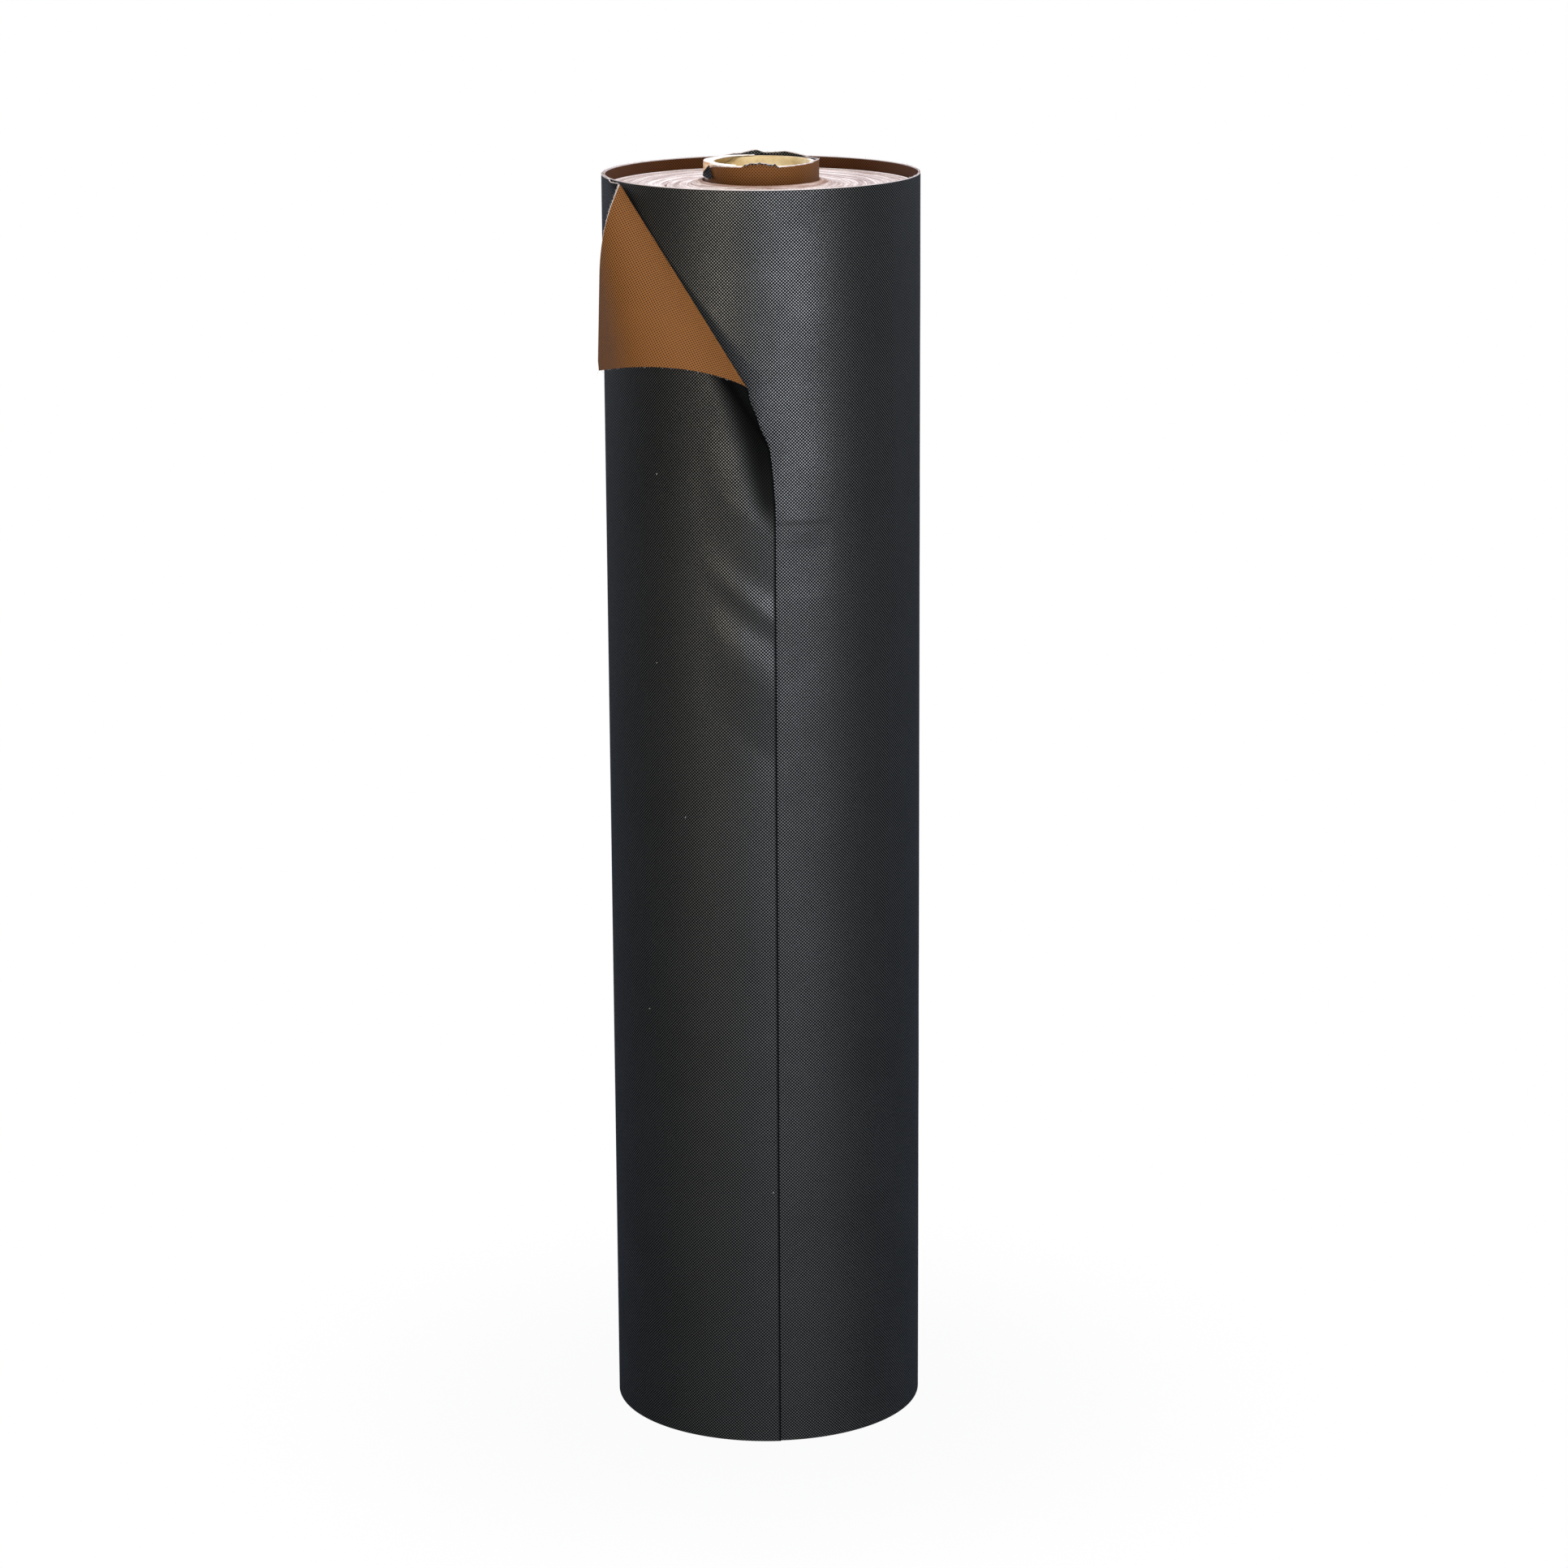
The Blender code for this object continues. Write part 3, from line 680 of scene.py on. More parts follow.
columns = np.concatenate([
    [0.0, EDGE_ROW], np.linspace(3 * EDGE_ROW, FOLD_WIDTH, LOOSE_STEPS_BESIDE),
    np.linspace(FOLD_WIDTH, root_across, LOOSE_STEPS_BEHIND)[1:],
])
grid, flat, frayed, shine_and_painted_shade = [], [], [], []
for column in columns:
    downs, last = [], -EDGE_ROW
    for row in range(CURL_ROWS + 1):
        step = EDGE_ROW / 4 if last > 0 else EDGE_ROW
        last = max(down_on_ruling(column, fold.curl_start * row / CURL_ROWS), last + step)
        downs.append(last)
    for below, rows in ROW_STRETCHES:
        downs += list(np.linspace(downs[-1], below, rows + 1)[1:])
    places = [(across_at(column, down), down) for down in downs]
    grid.append([loose_point(*place) for place in places])
    flat.append([(-across, FABRIC_WIDTH - down) for across, down in places])
    frayed.append([1.0 if down == 0.0 else 0.0 for down in downs])
    shine_and_painted_shade.append([shine_with_painted_shade(column, *place) for place in places])
loose_grid = np.array(grid)[::-1]
loose_cloth = sheet(
    "loose_end_cloth", loose_grid, np.array(flat)[::-1], np.array(frayed)[::-1], FINISHES,
    shine_and_painted_shade=np.array(shine_and_painted_shade)[::-1],
)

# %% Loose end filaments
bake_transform(loose_cloth)
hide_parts("tail")
upper = loose_grid[:LOOSE_STEPS_BEHIND]
roots = edge_roots(upper[:, 0], upper[:, 1], count=70, longest=0.0016)
loose_fuzz = strands("loose_end_filaments", roots)
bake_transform(loose_fuzz)

# %% [markdown]
# ## The turned-back corner
# The rest of the curl and the flap, down to the tip, with the brown face out. Its columns are the cones' straight
# lines, with many points on each, though few would do for the shape.

# %% Lines of the corner
CURL_LINES = 6
FLAP_LINES = 72
LINE_STEPS = 60
TIP_WIDTH = 0.002


def corner_ends(angle):
    """Where the line at this flat angle crosses the upper edge and the cut end, from the apex."""
    line = fold.flat_line(angle)
    upper = -fold.flat_apex[1] / line[1]
    slant = (TIP_OVERHANG + FOLD_SETBACK) / BEHIND_DEPTH
    cut = (TIP_OVERHANG - fold.flat_apex[0] + fold.flat_apex[1] * slant) / (line[0] - line[1] * slant)
    return upper, cut


tip_distance, tip_angle = fold.polar(-TIP_OVERHANG, 0.0)
last_angle = tip_angle - TIP_WIDTH / tip_distance
line_angles = (
    *np.linspace(0.0, fold.curl_end, CURL_LINES + 1)[:-1],
    *np.linspace(fold.curl_end, last_angle, FLAP_LINES + 1),
)
print("the tip is", round(tip_distance * 1000, 1), "mm from the cones' apex")

# %% Turned-back corner
FRAYED_FROM_LINE = 8
grid, flat, frayed = [], [], []
for angle in line_angles:
    near, far = corner_ends(angle)
    distances = [near, *np.linspace(near + EDGE_ROW, far - EDGE_ROW, LINE_STEPS), far]
    line, flat_line = fold.ruling(angle), fold.flat_line(angle)
    grid.append([fold.apex + line * distance for distance in distances])
    flat.append([fold.flat_apex + flat_line * distance + (0.0, FABRIC_WIDTH) for distance in distances])
    frayed.append([1.0, *np.zeros(LINE_STEPS), 0.0])
corner_grid = np.array(grid)
corner_cloth = sheet("turned_corner_cloth", corner_grid, np.array(flat), np.array(frayed), FINISHES)
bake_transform(corner_cloth)
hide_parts("turned_corner")
frayed_part = corner_grid[FRAYED_FROM_LINE:]
roots = edge_roots(frayed_part[:, 0], frayed_part[:, 1], count=150, longest=0.0018)
roots += edge_roots(frayed_part[:, -1], frayed_part[:, -2], count=40, longest=0.0010)
corner_fuzz = strands("turned_corner_filaments", roots)
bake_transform(corner_fuzz)

# %% [markdown]
# ## Threads and lint
# Two longer threads hang from the tip, and some scraps of lint cling to the black face. They are single filaments
# again, a little thicker, each with its own root and length.

# %% Threads at the tip
TIP_THREADS = (((-0.3, 0.0, -1.0), 0.009), ((0.6, 0.0, -1.0), 0.006))
tip = corner_grid[-1, 0] * 0.4 + corner_grid[-1, -1] * 0.6
threads = strands("tip_threads", [(tip, way, length) for way, length in TIP_THREADS], THREAD_RADIUS)
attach(threads, "turned_back_corner")

# %% Lint
LINT = ((-40.9, 0.780), (-42.0, 0.632), (-30.0, 0.512), (-48.0, 0.350), (2.0, 0.210))
LINT_LIFT = 0.0002
LINT_LENGTH = 0.0016
LINT_SLANT = 0.7
roots = []
for degrees, height in LINT:
    out, along = directions(math.radians(degrees))
    place = out * (turn_radius(degrees) + LINT_LIFT) + UP * height
    roots.append((place, along * LINT_SLANT + UP * LINT_SLANT, LINT_LENGTH))
lint = strands("lint", roots, THREAD_RADIUS)
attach(lint, "loose_end")

# %% [markdown]
# ## The wound cloth
# About a hundred metres of cloth, whose cut edges lie side by side in one spiral. To the eye they are fine pale rings
# with darker ones between, dull as felt, because filament ends scatter the light. On the real roll a turn is 0.4 mm
# thick, which is finer than the picture can show, so the rings are drawn 0.9 mm apart in the colour and 1.2 mm apart
# in the relief. Near the core the turns are browner. The pattern counts layers from the axis on Object coordinates: a
# UV map round the roll would jump where its ends meet.

# %% Wound cloth material
LAYER_SHOWN = 0.0009
BROWN_LAYERS = (50.0, 66.0)
WOUND_FUZZ_SCALE = 800.0
WOUND_RELIEF = 0.0004
edges, tree, shader = new_material("wound_cut_edges", 0.95, 0.15, Sheen_Weight=0.1)
spot = add(tree, "ShaderNodeTexCoord", None, "Object")
from_axis = add(tree, "ShaderNodeMapping", Vector=spot, Location=(-AXIS.x, -AXIS.y, 0.0), Scale=(1.0, 1.0, 0.0))
reach = add(tree, "ShaderNodeVectorMath", {"operation": "LENGTH"}, "Value", i0=from_axis)
layer_count = add(tree, "ShaderNodeMath", {"operation": "MULTIPLY"}, i0=reach, i1=1 / LAYER_SHOWN)
heading = add(tree, "ShaderNodeVectorMath", {"operation": "NORMALIZE"}, i0=from_axis)
heading = add(tree, "ShaderNodeVectorMath", {"operation": "SCALE"}, i0=heading, Scale=2.0)
split = add(tree, "ShaderNodeSeparateXYZ", i0=heading).node
wound_place = add(tree, "ShaderNodeCombineXYZ", X=layer_count, Y=split.outputs[0], Z=split.outputs[1])
layers = add(tree, "ShaderNodeTexNoise", Vector=wound_place, Scale=1.0, Detail=3.0, Roughness=0.65)
bands = add(tree, "ShaderNodeTexNoise", Vector=wound_place, Scale=0.23, Detail=2.0)
fuzz = add(tree, "ShaderNodeTexNoise", Vector=spot, Scale=WOUND_FUZZ_SCALE, Detail=3.0, Roughness=0.7)
mixed = add(tree, "ShaderNodeMath", {"operation": "MULTIPLY_ADD"}, i0=fuzz, i1=0.35, i2=layers)
mixed = add(tree, "ShaderNodeMath", {"operation": "MULTIPLY_ADD"}, i0=bands, i1=0.5, i2=mixed)
shade = add(tree, "ShaderNodeMapRange", i0=mixed, i1=0.72, i2=1.12, i3=0.0, i4=1.0)
tint = add(
    tree, "ShaderNodeMix", {"data_type": "RGBA"}, 2, i0=shade, i6=linear("#7a5a50"), i7=linear("#fbefec"),
)
near_core = add(
    tree, "ShaderNodeMapRange", i0=layer_count, i1=BROWN_LAYERS[0], i2=BROWN_LAYERS[1], i3=1.0, i4=0.0,
)
brown = add(tree, "ShaderNodeMath", {"operation": "MULTIPLY_ADD"}, i0=shade, i1=-0.3, i2=near_core)
tint = add(tree, "ShaderNodeMix", {"data_type": "RGBA"}, 2, i0=brown, i6=tint, i7=linear("#855c3e"))
tree.links.new(tint, shader.inputs["Base Color"])
bump = add(tree, "ShaderNodeBump", Strength=0.7, Distance=WOUND_RELIEF, Height=mixed)
tree.links.new(bump, shader.inputs["Normal"])
print("brown up to", round(BROWN_LAYERS[0] * LAYER_SHOWN * 1000), "mm from the axis")

# %% [markdown]
# ## The roll's end
# The turns stand a little unevenly, and one gap between two of them is deep enough to look dark. Next to the core the
# first turns rise. All of this is real height in the mesh, so that it also shows from the side. The grid goes over the
# end, down the outside, back under the roll and up the bore, so it closes on itself.

# %% Heights of the roll's end
PACK_INNER = 0.0454
PACK_OUTER = 0.12041
PACK_TOP = 0.9915
PACK_PITCH = 0.0012
END_RELIEF = 0.00045
END_DROP = 0.0006
GAP_RADIUS = 0.0745
GAP_DEPTH = 0.0035
GAP_WIDTH = 0.0008
GAP_WINDOW = (-150.0, -15.0, 30.0)
FIRST_TURNS_RISE = 0.0035
FIRST_TURNS_WIDTH = 0.016


def pack_end(radius, angle):
    """How far the cut edges stand out or in, at this place of the roll's end, with one gap between two turns."""
    rings = (radius - PACK_INNER) / PACK_PITCH
    turns = rings - angle / (2 * math.pi)
    ridge = abs((turns % 1.0) - 0.5) * 2
    proud = noise.noise(Vector((rings * 0.9, 1.0, 0.0))) + 0.6 * noise.noise(Vector((rings * 3.1, 1.0, 5.0)))
    degrees = (math.degrees(angle) + 180) % 360 - 180
    beside = (radius - GAP_RADIUS - PACK_PITCH * degrees / 360) / GAP_WIDTH
    gap = GAP_DEPTH * math.exp(-beside ** 2) * window(degrees, *GAP_WINDOW)
    rise = FIRST_TURNS_RISE * smooth(1 - (radius - PACK_INNER) / FIRST_TURNS_WIDTH)
    return END_RELIEF * (proud - 0.5 * ridge) - gap + rise


print("the first turns rise", round(pack_end(PACK_INNER, math.pi) * 1000, 1), "mm at the back")

# %% Wound cloth
PACK_ANGLES = 260
PACK_BANDS = 186
radii = np.linspace(PACK_INNER, PACK_OUTER, PACK_BANDS)
points, faces = [], []
for step in range(PACK_ANGLES):
    angle = 2 * math.pi * step / PACK_ANGLES
    points += [around(radius, angle, PACK_TOP - END_DROP + pack_end(radius, angle)) for radius in radii]
    points += [around(radius, angle, 0.0) for radius in radii[::-1]]
loop = 2 * PACK_BANDS
for step in range(PACK_ANGLES):
    near, far = step * loop, (step + 1) % PACK_ANGLES * loop
    for place in range(loop):
        after = (place + 1) % loop
        faces.append((near + place, far + place, far + after, near + after))
mesh = bpy.data.meshes.new("wound_cloth")
mesh.from_pydata((np.array(points) + np.array(AXIS)).tolist(), [], faces)
mesh.materials.append(edges)
mesh.shade_smooth()
wound = bpy.data.objects.new("wound_cloth", mesh)
bpy.context.scene.collection.objects.link(wound)
print("wound_cloth", len(mesh.polygons), "faces")
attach(wound, "roll")
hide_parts("wound_pack")

# %% [markdown]
# ## The core
# A spiral-wound paper tube. Its inner ply is a strip of cream paper wound at a slant. At the left its outer plies are
# torn, and white paper stands over the wall. Board is pressed from short paper fibres and not coated, so to the eye it
# is dull, with soft blotches, and hairy where it is torn: there the fibres are drawn out sideways.

# %% Board materials
# Blotches some 14 mm across, and fibres 1 to 3 mm long, each board its own.
BLOTCH_SCALE = 70.0
BOARD_RELIEF = 0.0002


def board_material(name, dark, light, fibre_scale, streak):
    """Paper board: soft blotches, short fibres drawn out sideways by the streak, and a dull face."""
    made, tree, shader = new_material(name, 0.85, 0.25)
    spot = add(tree, "ShaderNodeTexCoord", None, "Object")
    drawn = add(tree, "ShaderNodeVectorMath", {"operation": "MULTIPLY"}, i0=spot, i1=(1.0, 1.0, streak))
    blotches = add(tree, "ShaderNodeTexNoise", Vector=drawn, Scale=BLOTCH_SCALE, Detail=3.0)
    fibres = add(tree, "ShaderNodeTexNoise", Vector=drawn, Scale=fibre_scale, Detail=4.0, Roughness=0.7)
    mixed = add(tree, "ShaderNodeMath", {"operation": "MULTIPLY_ADD"}, i0=fibres, i1=0.5, i2=blotches)
    shade = add(tree, "ShaderNodeMapRange", i0=mixed, i1=0.5, i2=1.0, i3=0.0, i4=1.0)
    tint = add(tree, "ShaderNodeMix", {"data_type": "RGBA"}, 2, i0=shade, i6=linear(dark), i7=linear(light))
    tree.links.new(tint, shader.inputs["Base Color"])
    bump = add(tree, "ShaderNodeBump", Strength=0.4, Distance=BOARD_RELIEF, Height=fibres)
    tree.links.new(bump, shader.inputs["Normal"])
    return made


cream_board = board_material("cream_liner_paper", "#d9bd86", "#fff0c6", 500.0, 1.0)
core_board = board_material("grey_core_board", "#a98d68", "#d9c4a2", 600.0, 1.0)
torn_board = board_material("torn_cream_board", "#b3723a", "#f3dcb8", 350.0, 5.0)
white_paper = board_material("torn_white_paper", "#e3d5c8", "#fffaf4", 900.0, 1.0)
print("boards", cream_board.name, core_board.name, torn_board.name, white_paper.name)

# %% [markdown]
# ## The core's wall
# A thick tube, shaped as by hand: a cylinder's two ends are inset by the wall's thickness and bridged, which opens the
# bore. A bevel wears its edges, and the torn part of its upper end gets the white paper.

# %% Helpers for edit mode


def select_faces(piece, wanted):
    """In edit mode, selects the faces whose normal passes this test, and nothing else."""
    bpy.ops.mesh.select_all(action="DESELECT")
    shape = bmesh.from_edit_mesh(piece.data)
    for face in shape.faces:
        if wanted(face.normal):
            face.select_set(True)
    bmesh.update_edit_mesh(piece.data)


def place_in_mesh(piece):
    """Puts the piece's place, turn and scale into its mesh."""
    bpy.ops.object.select_all(action="DESELECT")
    piece.select_set(True)
    bpy.context.view_layer.objects.active = piece
    bpy.ops.object.transform_apply(location=True, rotation=True, scale=True)
    piece.select_set(False)


# %% Core wall
CORE_TOP = 1.0085
TUBE_INNER = 0.0384
TUBE_OUTER = 0.0412
CORE_STEPS = 160
WORN_EDGE = 0.0004
TORN_TO_ANGLE = 112.0
bpy.ops.mesh.primitive_cylinder_add(
    vertices=CORE_STEPS, radius=TUBE_OUTER, depth=CORE_TOP, end_fill_type="NGON",
    location=AXIS + Vector((0, 0, CORE_TOP / 2)),
)
core_wall = bpy.context.active_object
core_wall.name = "core_wall"
bpy.ops.object.mode_set(mode="EDIT")
select_faces(core_wall, lambda normal: abs(normal.z) > 0.9)
bpy.ops.mesh.inset(thickness=TUBE_OUTER - TUBE_INNER)
bpy.ops.mesh.bridge_edge_loops()
bpy.ops.object.mode_set(mode="OBJECT")
place_in_mesh(core_wall)
core_wall.data.materials.append(core_board)
core_wall.data.materials.append(white_paper)
bevel = core_wall.modifiers.new("worn_edge", "BEVEL")
bevel.width = WORN_EDGE
bevel.segments = 2
apply_modifiers(core_wall)
for polygon in core_wall.data.polygons:
    spot = polygon.center - AXIS
    if polygon.normal.z > 0.3 and abs(math.atan2(spot.x, -spot.y)) < math.radians(TORN_TO_ANGLE):
        polygon.material_index = 1
core_wall.data.shade_smooth()
core_wall.data.set_sharp_from_angle(angle=math.radians(SHARP_ANGLE))
print("core_wall", len(core_wall.data.polygons), "faces")
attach(core_wall, "roll")
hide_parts("core_tube")

# %% [markdown]
# ## The core's liner and outer ply
# Each ply is a strip of paper 100 mm wide, wound at a slant, with a fine open seam between its turns. A plain tube
# with a drawn line would do from afar, but the seam is real here: the Screw modifier winds one upright line round the
# axis, and the strip is cut level at both ends, as a saw does it on the real core.

# %% Slanted plies
PLY_WIDTH = 0.100
PLY_SEAM = 0.0006
PLY_THICKNESS = 0.0006
PLY_STEPS = 96
PLY_SHARP_ANGLE = 40


def slanted_ply(name, outer, seam_angle, finish):
    """A strip of paper wound round the core at a slant: one upright line, screwed round the axis, cut level, thickened.
    Its seam reaches the top at the seam angle, in degrees."""
    lean = math.asin(PLY_WIDTH / (2 * math.pi * outer))
    rise = PLY_WIDTH / math.cos(lean)
    band = rise - PLY_SEAM / math.cos(lean)
    bpy.ops.mesh.primitive_plane_add(size=band, location=AXIS)
    piece = bpy.context.active_object
    piece.name = name
    bpy.ops.object.mode_set(mode="EDIT")
    bpy.ops.mesh.select_all(action="DESELECT")
    shape = bmesh.from_edit_mesh(piece.data)
    for vertex in shape.verts:
        vertex.select_set(vertex.co.x > 0)
    bmesh.update_edit_mesh(piece.data)
    bpy.ops.mesh.delete(type="VERT")
    bpy.ops.object.mode_set(mode="OBJECT")
    for vertex in piece.data.vertices:
        vertex.co = Vector((0.0, -outer, vertex.co.y - band / 2))
    screw = piece.modifiers.new("winding", "SCREW")
    screw.angle = -2 * math.pi
    screw.screw_offset = rise
    screw.steps = PLY_STEPS
    screw.render_steps = PLY_STEPS
    screw.iterations = math.ceil((CORE_TOP + band) / rise) + 1
    screw.use_normal_flip = False
    apply_modifiers(piece)
    piece.rotation_euler.z = math.radians(seam_angle) + 2 * math.pi * (CORE_TOP / rise % 1.0)
    bpy.ops.object.select_all(action="DESELECT")
    bpy.context.view_layer.objects.active = piece
    piece.select_set(True)
    bpy.ops.object.mode_set(mode="EDIT")
    for height, outwards in ((FLOOR_LIFT, -1.0), (CORE_TOP - FLOOR_LIFT, 1.0)):
        bpy.ops.mesh.select_all(action="SELECT")
        bpy.ops.mesh.bisect(plane_co=(AXIS.x, AXIS.y, height), plane_no=(0.0, 0.0, outwards), clear_outer=True)
    bpy.ops.object.mode_set(mode="OBJECT")
    place_in_mesh(piece)
    face = piece.data.polygons[0]
    if (face.center - AXIS).to_2d() @ face.normal.to_2d() < 0:
        piece.data.flip_normals()
    solidify = piece.modifiers.new("ply", "SOLIDIFY")
    solidify.thickness = PLY_THICKNESS
    solidify.offset = -1.0
    apply_modifiers(piece)
    piece.data.materials.append(finish)
    piece.data.shade_smooth()
    piece.data.set_sharp_from_angle(angle=math.radians(PLY_SHARP_ANGLE))
    print(name, len(piece.data.polygons), "faces")
    return piece


# %% Core liner and outer ply
LINER_OUTER = 0.0381
LINER_SEAM_ANGLE = -147.0
PLY_OUTER = 0.0421
PLY_SEAM_ANGLE = 60.0
liner = slanted_ply("core_liner_paper", LINER_OUTER, LINER_SEAM_ANGLE, cream_board)
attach(liner, "roll")
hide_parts("core_liner")
ply = slanted_ply("core_outer_paper", PLY_OUTER, PLY_SEAM_ANGLE, torn_board)
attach(ply, "roll")
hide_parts("core_outer_ply")

# %% [markdown]
# ## The torn paper
# Where the outer plies are torn, white paper lies over the wall, hangs down a little outside it and shows its cream
# inside. It is a sheet as the cloth is, whose limits are made ragged by a noise, because fibres part at random.

# %% Torn paper on the core
PAPER_FIRST = -172.0
PAPER_LAST = -30.0
PAPER_STEPS = 142
PAPER_THICKNESS = 0.0004
PAPER_ROW_SHARES = (0.0, 0.12, 0.3, 0.5, 0.7, 0.88, 1.0)
HANGING_SHARES = (0.35, 0.7, 1.0)
HANGING_LEAN = 0.0004
CROWN_FOOT = 0.55
WHITE_DEPTH = 0.0006
# Its limits: a plain size, what is added within a window (from, to and soft ends, in degrees), and its raggedness.
PAPER_INNER = (0.0376, -0.0036, (-148.0, -92.0, 34.0), -0.0005)
PAPER_OUTER = (0.0420, 0.0022, (-112.0, -72.0, 24.0), 0.0003)
PAPER_LIFT = (0.0005, 0.0007, (-150.0, -78.0, 40.0), 0.0002)
PAPER_DROP = (0.0008, 0.0092, (-108.0, -66.0, 14.0), 0.0009)
PAPER_LIMITS = (PAPER_INNER, PAPER_OUTER, PAPER_LIFT, PAPER_DROP)

grid, flat = [], []
for degrees in np.linspace(PAPER_FIRST, PAPER_LAST, PAPER_STEPS):
    ragged = noise.noise(Vector((degrees / 5.0, 4.0, 0.0))) + 0.5 * noise.noise(Vector((degrees / 1.7, 4.0, 3.0)))
    inner, outer, lift, drop = (
        plain + added * window(degrees, *where) + rag * ragged for plain, added, where, rag in PAPER_LIMITS
    )
    angle = math.radians(degrees)
    column = []
    for share in PAPER_ROW_SHARES:
        crown = lift * (CROWN_FOOT + (1 - CROWN_FOOT) * math.sin(math.pi * share))
        column.append(around(inner + (outer - inner) * share, angle, CORE_TOP + crown))
    for share in HANGING_SHARES:
        column.append(around(outer + HANGING_LEAN * share, angle, CORE_TOP + CROWN_FOOT * lift - drop * share))
    grid.append(column[::-1])
    flat.append([(point[0], point[2]) for point in column])
paper = sheet(
    "torn_core_paper", np.array(grid), np.array(flat), np.ones(np.array(grid).shape[:2]),
    (white_paper, torn_board, white_paper), PAPER_THICKNESS,
)
for polygon in paper.data.polygons:
    polygon.material_index = INNER_FACE if polygon.center.z < CORE_TOP - WHITE_DEPTH else OUTER_FACE
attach(paper, "roll")

# %% [markdown]
# ## The first turns on the core
# The strip starts on the core with its brown face out. Its upper edge stands up round the core's end, and is torn. The
# tear is part of the silhouette, so its heights are given at known angles, and a noise adds only the finest rags.

# %% Torn upper edge
WRAP_RAG = 0.005
WRAP_TOP_SHARES = (
    (-180, 0.6), (-175, 0.9), (-168, 0.75), (-159, 0.45), (-148, 0.4), (-138, 0.2), (-130, -0.2),
    (-118, -2.3), (-68, -2.4), (-64, -0.6), (-56, -0.2), (-40, -0.1), (-19, 0.0), (-16.5, 0.35),
    (-12, 0.5), (-7, 0.62), (1.9, 0.64), (7, 0.5), (11, 0.34), (14, 0.38), (18, -0.02), (60, 0.2),
    (71, 0.4), (90, 0.3), (123, 0.0), (132, 0.25), (140, 0.4), (155, 0.7), (166, 0.5), (177, 0.45), (180, 0.6),
)
TORN_BUMP = (-17.0, 17.0, 4.0)


def wrap_top(degrees, turn):
    """The torn upper edge of the first turns, at this angle."""
    angles = [angle for angle, share in WRAP_TOP_SHARES]
    shares = [share for angle, share in WRAP_TOP_SHARES]
    folded = (degrees + 180) % 360 - 180
    ragged = 0.0004 * noise.noise(Vector((degrees / 4.0, 2.0, turn)))
    ragged += 0.0003 * noise.noise(Vector((degrees, 7.0, turn)))
    ragged += 0.0012 * noise.noise(Vector((degrees / 3.0, 11.0, turn))) * window(folded, *TORN_BUMP)
    return CORE_TOP + WRAP_RAG * float(np.interp(folded, angles, shares)) + ragged


print("the first turns stand", round((wrap_top(0.0, 1.0) - CORE_TOP) * 1000, 1), "mm over the core at the front")

# %% Core wrap
WRAP_INNER = 0.0424
WRAP_TURNS = 2.0
WRAP_STEPS = 180
FINE_DEPTH = 0.024
PLAIN_WRAP_ROWS = 12
wrap_shares = np.concatenate([[0.0, 0.03], np.linspace(0.08, 1.0, 24)])
grid, flat, frayed = [], [], []
for step in range(round(WRAP_TURNS * WRAP_STEPS) + 1):
    turn = step / WRAP_STEPS
    angle = 2 * math.pi * turn + math.pi
    radius = WRAP_INNER + FABRIC_THICKNESS + TURN_PITCH * turn
    top = wrap_top(math.degrees(angle), float(int(turn)))
    upper = [top - FINE_DEPTH * share for share in wrap_shares]
    heights = [*upper, *np.linspace(upper[-1], FLOOR_LIFT, PLAIN_WRAP_ROWS)[1:]]
    grid.append([around(radius, angle, height) for height in heights])
    flat.append([(angle * radius, height) for height in heights])
    frayed.append([1.0, *np.zeros(len(heights) - 1)])
wrap_cloth = sheet(
    "core_wrap_cloth", np.array(grid), np.array(flat), np.array(frayed), (brown_face, black_face, cut_edge),
)
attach(wrap_cloth, "roll")
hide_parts("core_wrap")
last_turn = np.array(grid)[-WRAP_STEPS:]
wrap_fuzz = strands(
    "core_wrap_filaments", edge_roots(last_turn[:, 0], last_turn[:, 1], count=130, longest=0.0013),
)
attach(wrap_fuzz, "roll")

# %% [markdown]
# ## Torn black cloth on the core
# Beside the tear hangs a scrap of the cloth's black face, and a thin black line runs along the torn bump at the front.
# Colour painted on the brown turns would have no edge, so both are thin sheets of their own, just outside the turns.

# %% Black scrap
SCRAP_RADIUS = WRAP_INNER + FABRIC_THICKNESS + TURN_PITCH * WRAP_TURNS + 0.0003
SCRAP_STEPS, SCRAP_COLUMNS = 26, 16
SCRAP_THICKNESS = 0.0003
SCRAP_SHINE = 0.25
SCRAP_CURL = 0.0011
BLACK_FINISHES = (black_face, black_face, black_face)

grid, flat = [], []
for row in np.linspace(0.0, 1.0, SCRAP_STEPS):
    height = CORE_TOP - 0.0010 - 0.0096 * row
    first = -63.5 - 25.0 * row ** 1.6 + 1.5 * noise.noise(Vector((row * 9.0, 1.0, 0.0)))
    last = -62.0 + 7.5 * row
    for_row = []
    for share in np.linspace(0.0, 1.0, SCRAP_COLUMNS):
        degrees = first + (last - first) * share
        curl = SCRAP_CURL * (1 - share) ** 2 * math.sin(math.pi * min(row * 1.2, 1.0))
        for_row.append(around(SCRAP_RADIUS + curl, math.radians(degrees), height))
    grid.append(for_row)
    flat.append([(point[0], point[2]) for point in for_row])
scrap = sheet(
    "torn_black_cloth", np.array(grid)[::-1], np.array(flat)[::-1], np.zeros((SCRAP_STEPS, SCRAP_COLUMNS)),
    BLACK_FINISHES, SCRAP_THICKNESS, np.full((SCRAP_STEPS, SCRAP_COLUMNS), SCRAP_SHINE),
)
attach(scrap, "roll")

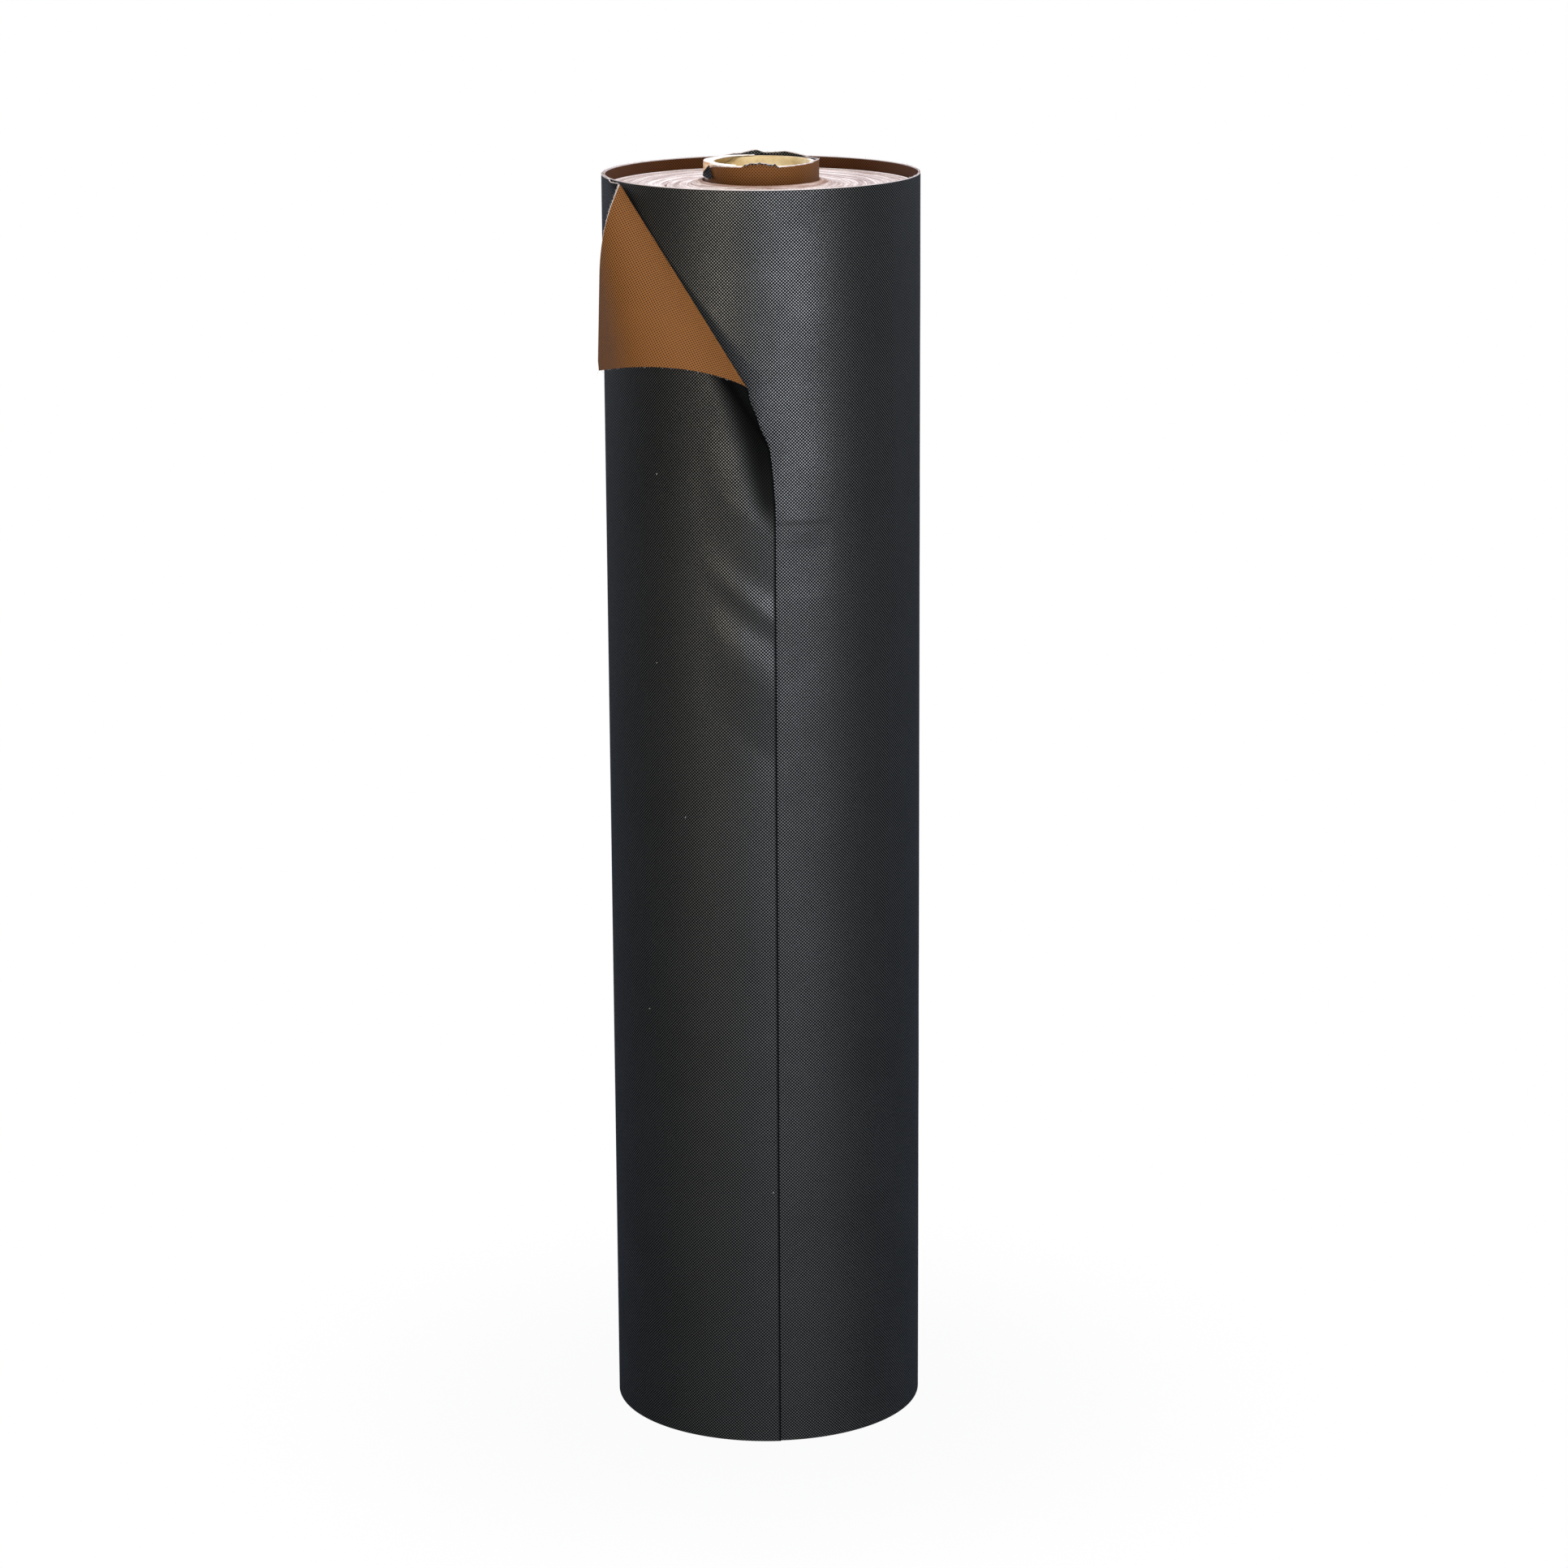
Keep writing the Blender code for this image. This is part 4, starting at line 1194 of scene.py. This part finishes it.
# %% Black line
LINE_COLUMNS = 50
LINE_SHARES = (0.0, 0.5, 1.0)
LINE_THICKNESS = 0.0002
grid, flat = [], []
for degrees in np.linspace(-17.0, 18.0, LINE_COLUMNS):
    top = wrap_top(degrees + 720.0, 1.0) - 0.0002
    deep = 0.0009 + 0.0006 * noise.noise(Vector((degrees / 2.5, 3.0, 0.0)))
    angle = math.radians(degrees)
    column = [around(SCRAP_RADIUS - LINE_THICKNESS, angle, top - deep * share) for share in LINE_SHARES]
    grid.append(column)
    flat.append([(point[0], point[2]) for point in column])
line = sheet(
    "torn_black_line", np.array(grid), np.array(flat), np.zeros((LINE_COLUMNS, len(LINE_SHARES))), BLACK_FINISHES,
    LINE_THICKNESS,
)
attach(line, "roll")

# %% [markdown]
# ## The floor
# The photograph's ground is plain white. A white floor would throw light up on the black cloth, so this one is dark to
# the light, and Light Path's Is Camera Ray makes it white to the camera alone. Round the roll it is lifted a little
# less, so that a faint shadow stays. The roll has no metal or glass to mirror the ground, so no other ray sees it.

# %% Floor
FLOOR_SIZE = 14.0
FLOOR_DROP = 0.0002
SHADOW_REACH = (0.1, 0.5)
SHADOW_LIFT = 0.96
bpy.ops.mesh.primitive_plane_add(size=FLOOR_SIZE, location=(0.0, 0.0, -FLOOR_DROP))
floor = bpy.context.active_object
floor.name = "floor"
floor_finish, tree, shader = new_material("pale_floor", 0.9, 0.1)
shader.inputs["Base Color"].default_value = linear("#404958")
seen = add(tree, "ShaderNodeLightPath", None, "Is Camera Ray")
white = add(tree, "ShaderNodeEmission", Color=(1.0, 1.0, 1.0, 1.0), Strength=1.0)
spot = add(tree, "ShaderNodeTexCoord", None, "Object")
away = add(tree, "ShaderNodeVectorMath", {"operation": "LENGTH"}, "Value", i0=spot)
lifted = add(
    tree, "ShaderNodeMapRange", {"interpolation_type": "SMOOTHSTEP"},
    i0=away, i1=SHADOW_REACH[0], i2=SHADOW_REACH[1], i3=SHADOW_LIFT, i4=1.0,
)
share = add(tree, "ShaderNodeMath", {"operation": "MULTIPLY"}, i0=seen, i1=lifted)
both = add(tree, "ShaderNodeMixShader", i0=share, i1=shader.outputs[0], i2=white)
tree.links.new(both, tree.nodes["Material Output"].inputs["Surface"])
floor.data.materials.append(floor_finish)
floor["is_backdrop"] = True
print("floor", floor_finish.name, FLOOR_SIZE, "m")

# %% [markdown]
# ## The light
# Black cloth shows its form by what it mirrors: two bright streaks run down its front and left, from softboxes there,
# and two lamps behind light its flanks. One lamp from above lights the roll's end. The world gives almost no light, and
# it is white only to the camera. A sky or a light dome would grey the whole black face evenly.

# %% World
WORLD_LIGHT = 0.03
world = bpy.data.worlds.new("white_studio")
bpy.context.scene.world = world
world.use_nodes = True
tree = world.node_tree
ground = tree.nodes["Background"]
ground.inputs["Color"].default_value = (1.0, 1.0, 1.0, 1.0)
ground.inputs["Strength"].default_value = WORLD_LIGHT
seen = add(tree, "ShaderNodeLightPath", None, "Is Camera Ray")
white = add(tree, "ShaderNodeBackground", Color=(1.0, 1.0, 1.0, 1.0), Strength=1.0)
both = add(tree, "ShaderNodeMixShader", i0=seen, i1=ground.outputs[0], i2=white)
tree.links.new(both, tree.nodes["World Output"].inputs["Surface"])
print("world", world.name, "gives", WORLD_LIGHT, "of white's light")

# %% Softboxes
# Each row: the name, its place, the height on the axis that it faces, its width and height in metres, its power in
# watts, and its tint.
SOFTBOXES = (
    ("front_softbox", (0.72, -2.6, 0.8), 0.7, 1.95, 0.75, 71.0, "#eef3ff"),
    ("front_right_softbox", (2.0, -2.6, 0.9), 0.6, 0.6, 0.6, 26.0, "#f2f5ff"),
    ("front_left_softbox", (-2.0, -2.6, 0.9), 0.6, 0.7, 0.6, 17.0, "#fff0dc"),
    ("near_left_softbox", (-0.6, -1.3, 0.95), 0.75, 0.4, 0.4, 7.5, "#fff4e0"),
    ("back_left_softbox", (-2.2, 1.9, 1.9), 0.6, 0.8, 0.8, 78.0, "#e2ebff"),
    ("back_right_softbox", (2.5, 2.0, 2.3), 0.7, 0.8, 0.8, 100.0, "#e2ebff"),
    ("top_softbox", (0.25, -1.0, 2.8), 1.0, 0.8, 0.8, 50.0, "#fffdfa"),
)


def softbox(name, place, aim_height, width, height, power, tint):
    """A rectangular lamp that faces the point at this height over the middle of the floor."""
    lamp = bpy.data.lights.new(name, "AREA")
    lamp.shape = "RECTANGLE"
    lamp.size = width
    lamp.size_y = height
    lamp.energy = power
    lamp.color = linear(tint)[:3]
    holder = bpy.data.objects.new(name, lamp)
    holder.location = place
    aim = Vector((0.0, 0.0, aim_height))
    holder.rotation_euler = (aim - Vector(place)).to_track_quat("-Z", "Y").to_euler()
    bpy.context.scene.collection.objects.link(holder)


for row in SOFTBOXES:
    softbox(*row)
print(len(SOFTBOXES), "softboxes")

# %% [markdown]
# ## Sizes and the finish
# The box of the dressed roll is set against the imported one's, and how much it grows is printed. The dressed
# roll must stay as large as the imported one.

# %% Sizes before and after, and the finish
bpy.context.scene.view_settings.view_transform = "Standard"
shown_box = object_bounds()
sizes = zip(cad_box[1] - cad_box[0], shown_box[1] - shown_box[0])
print("box grows by", [round((shown - cad) * 1000, 1) for cad, shown in sizes], "mm")
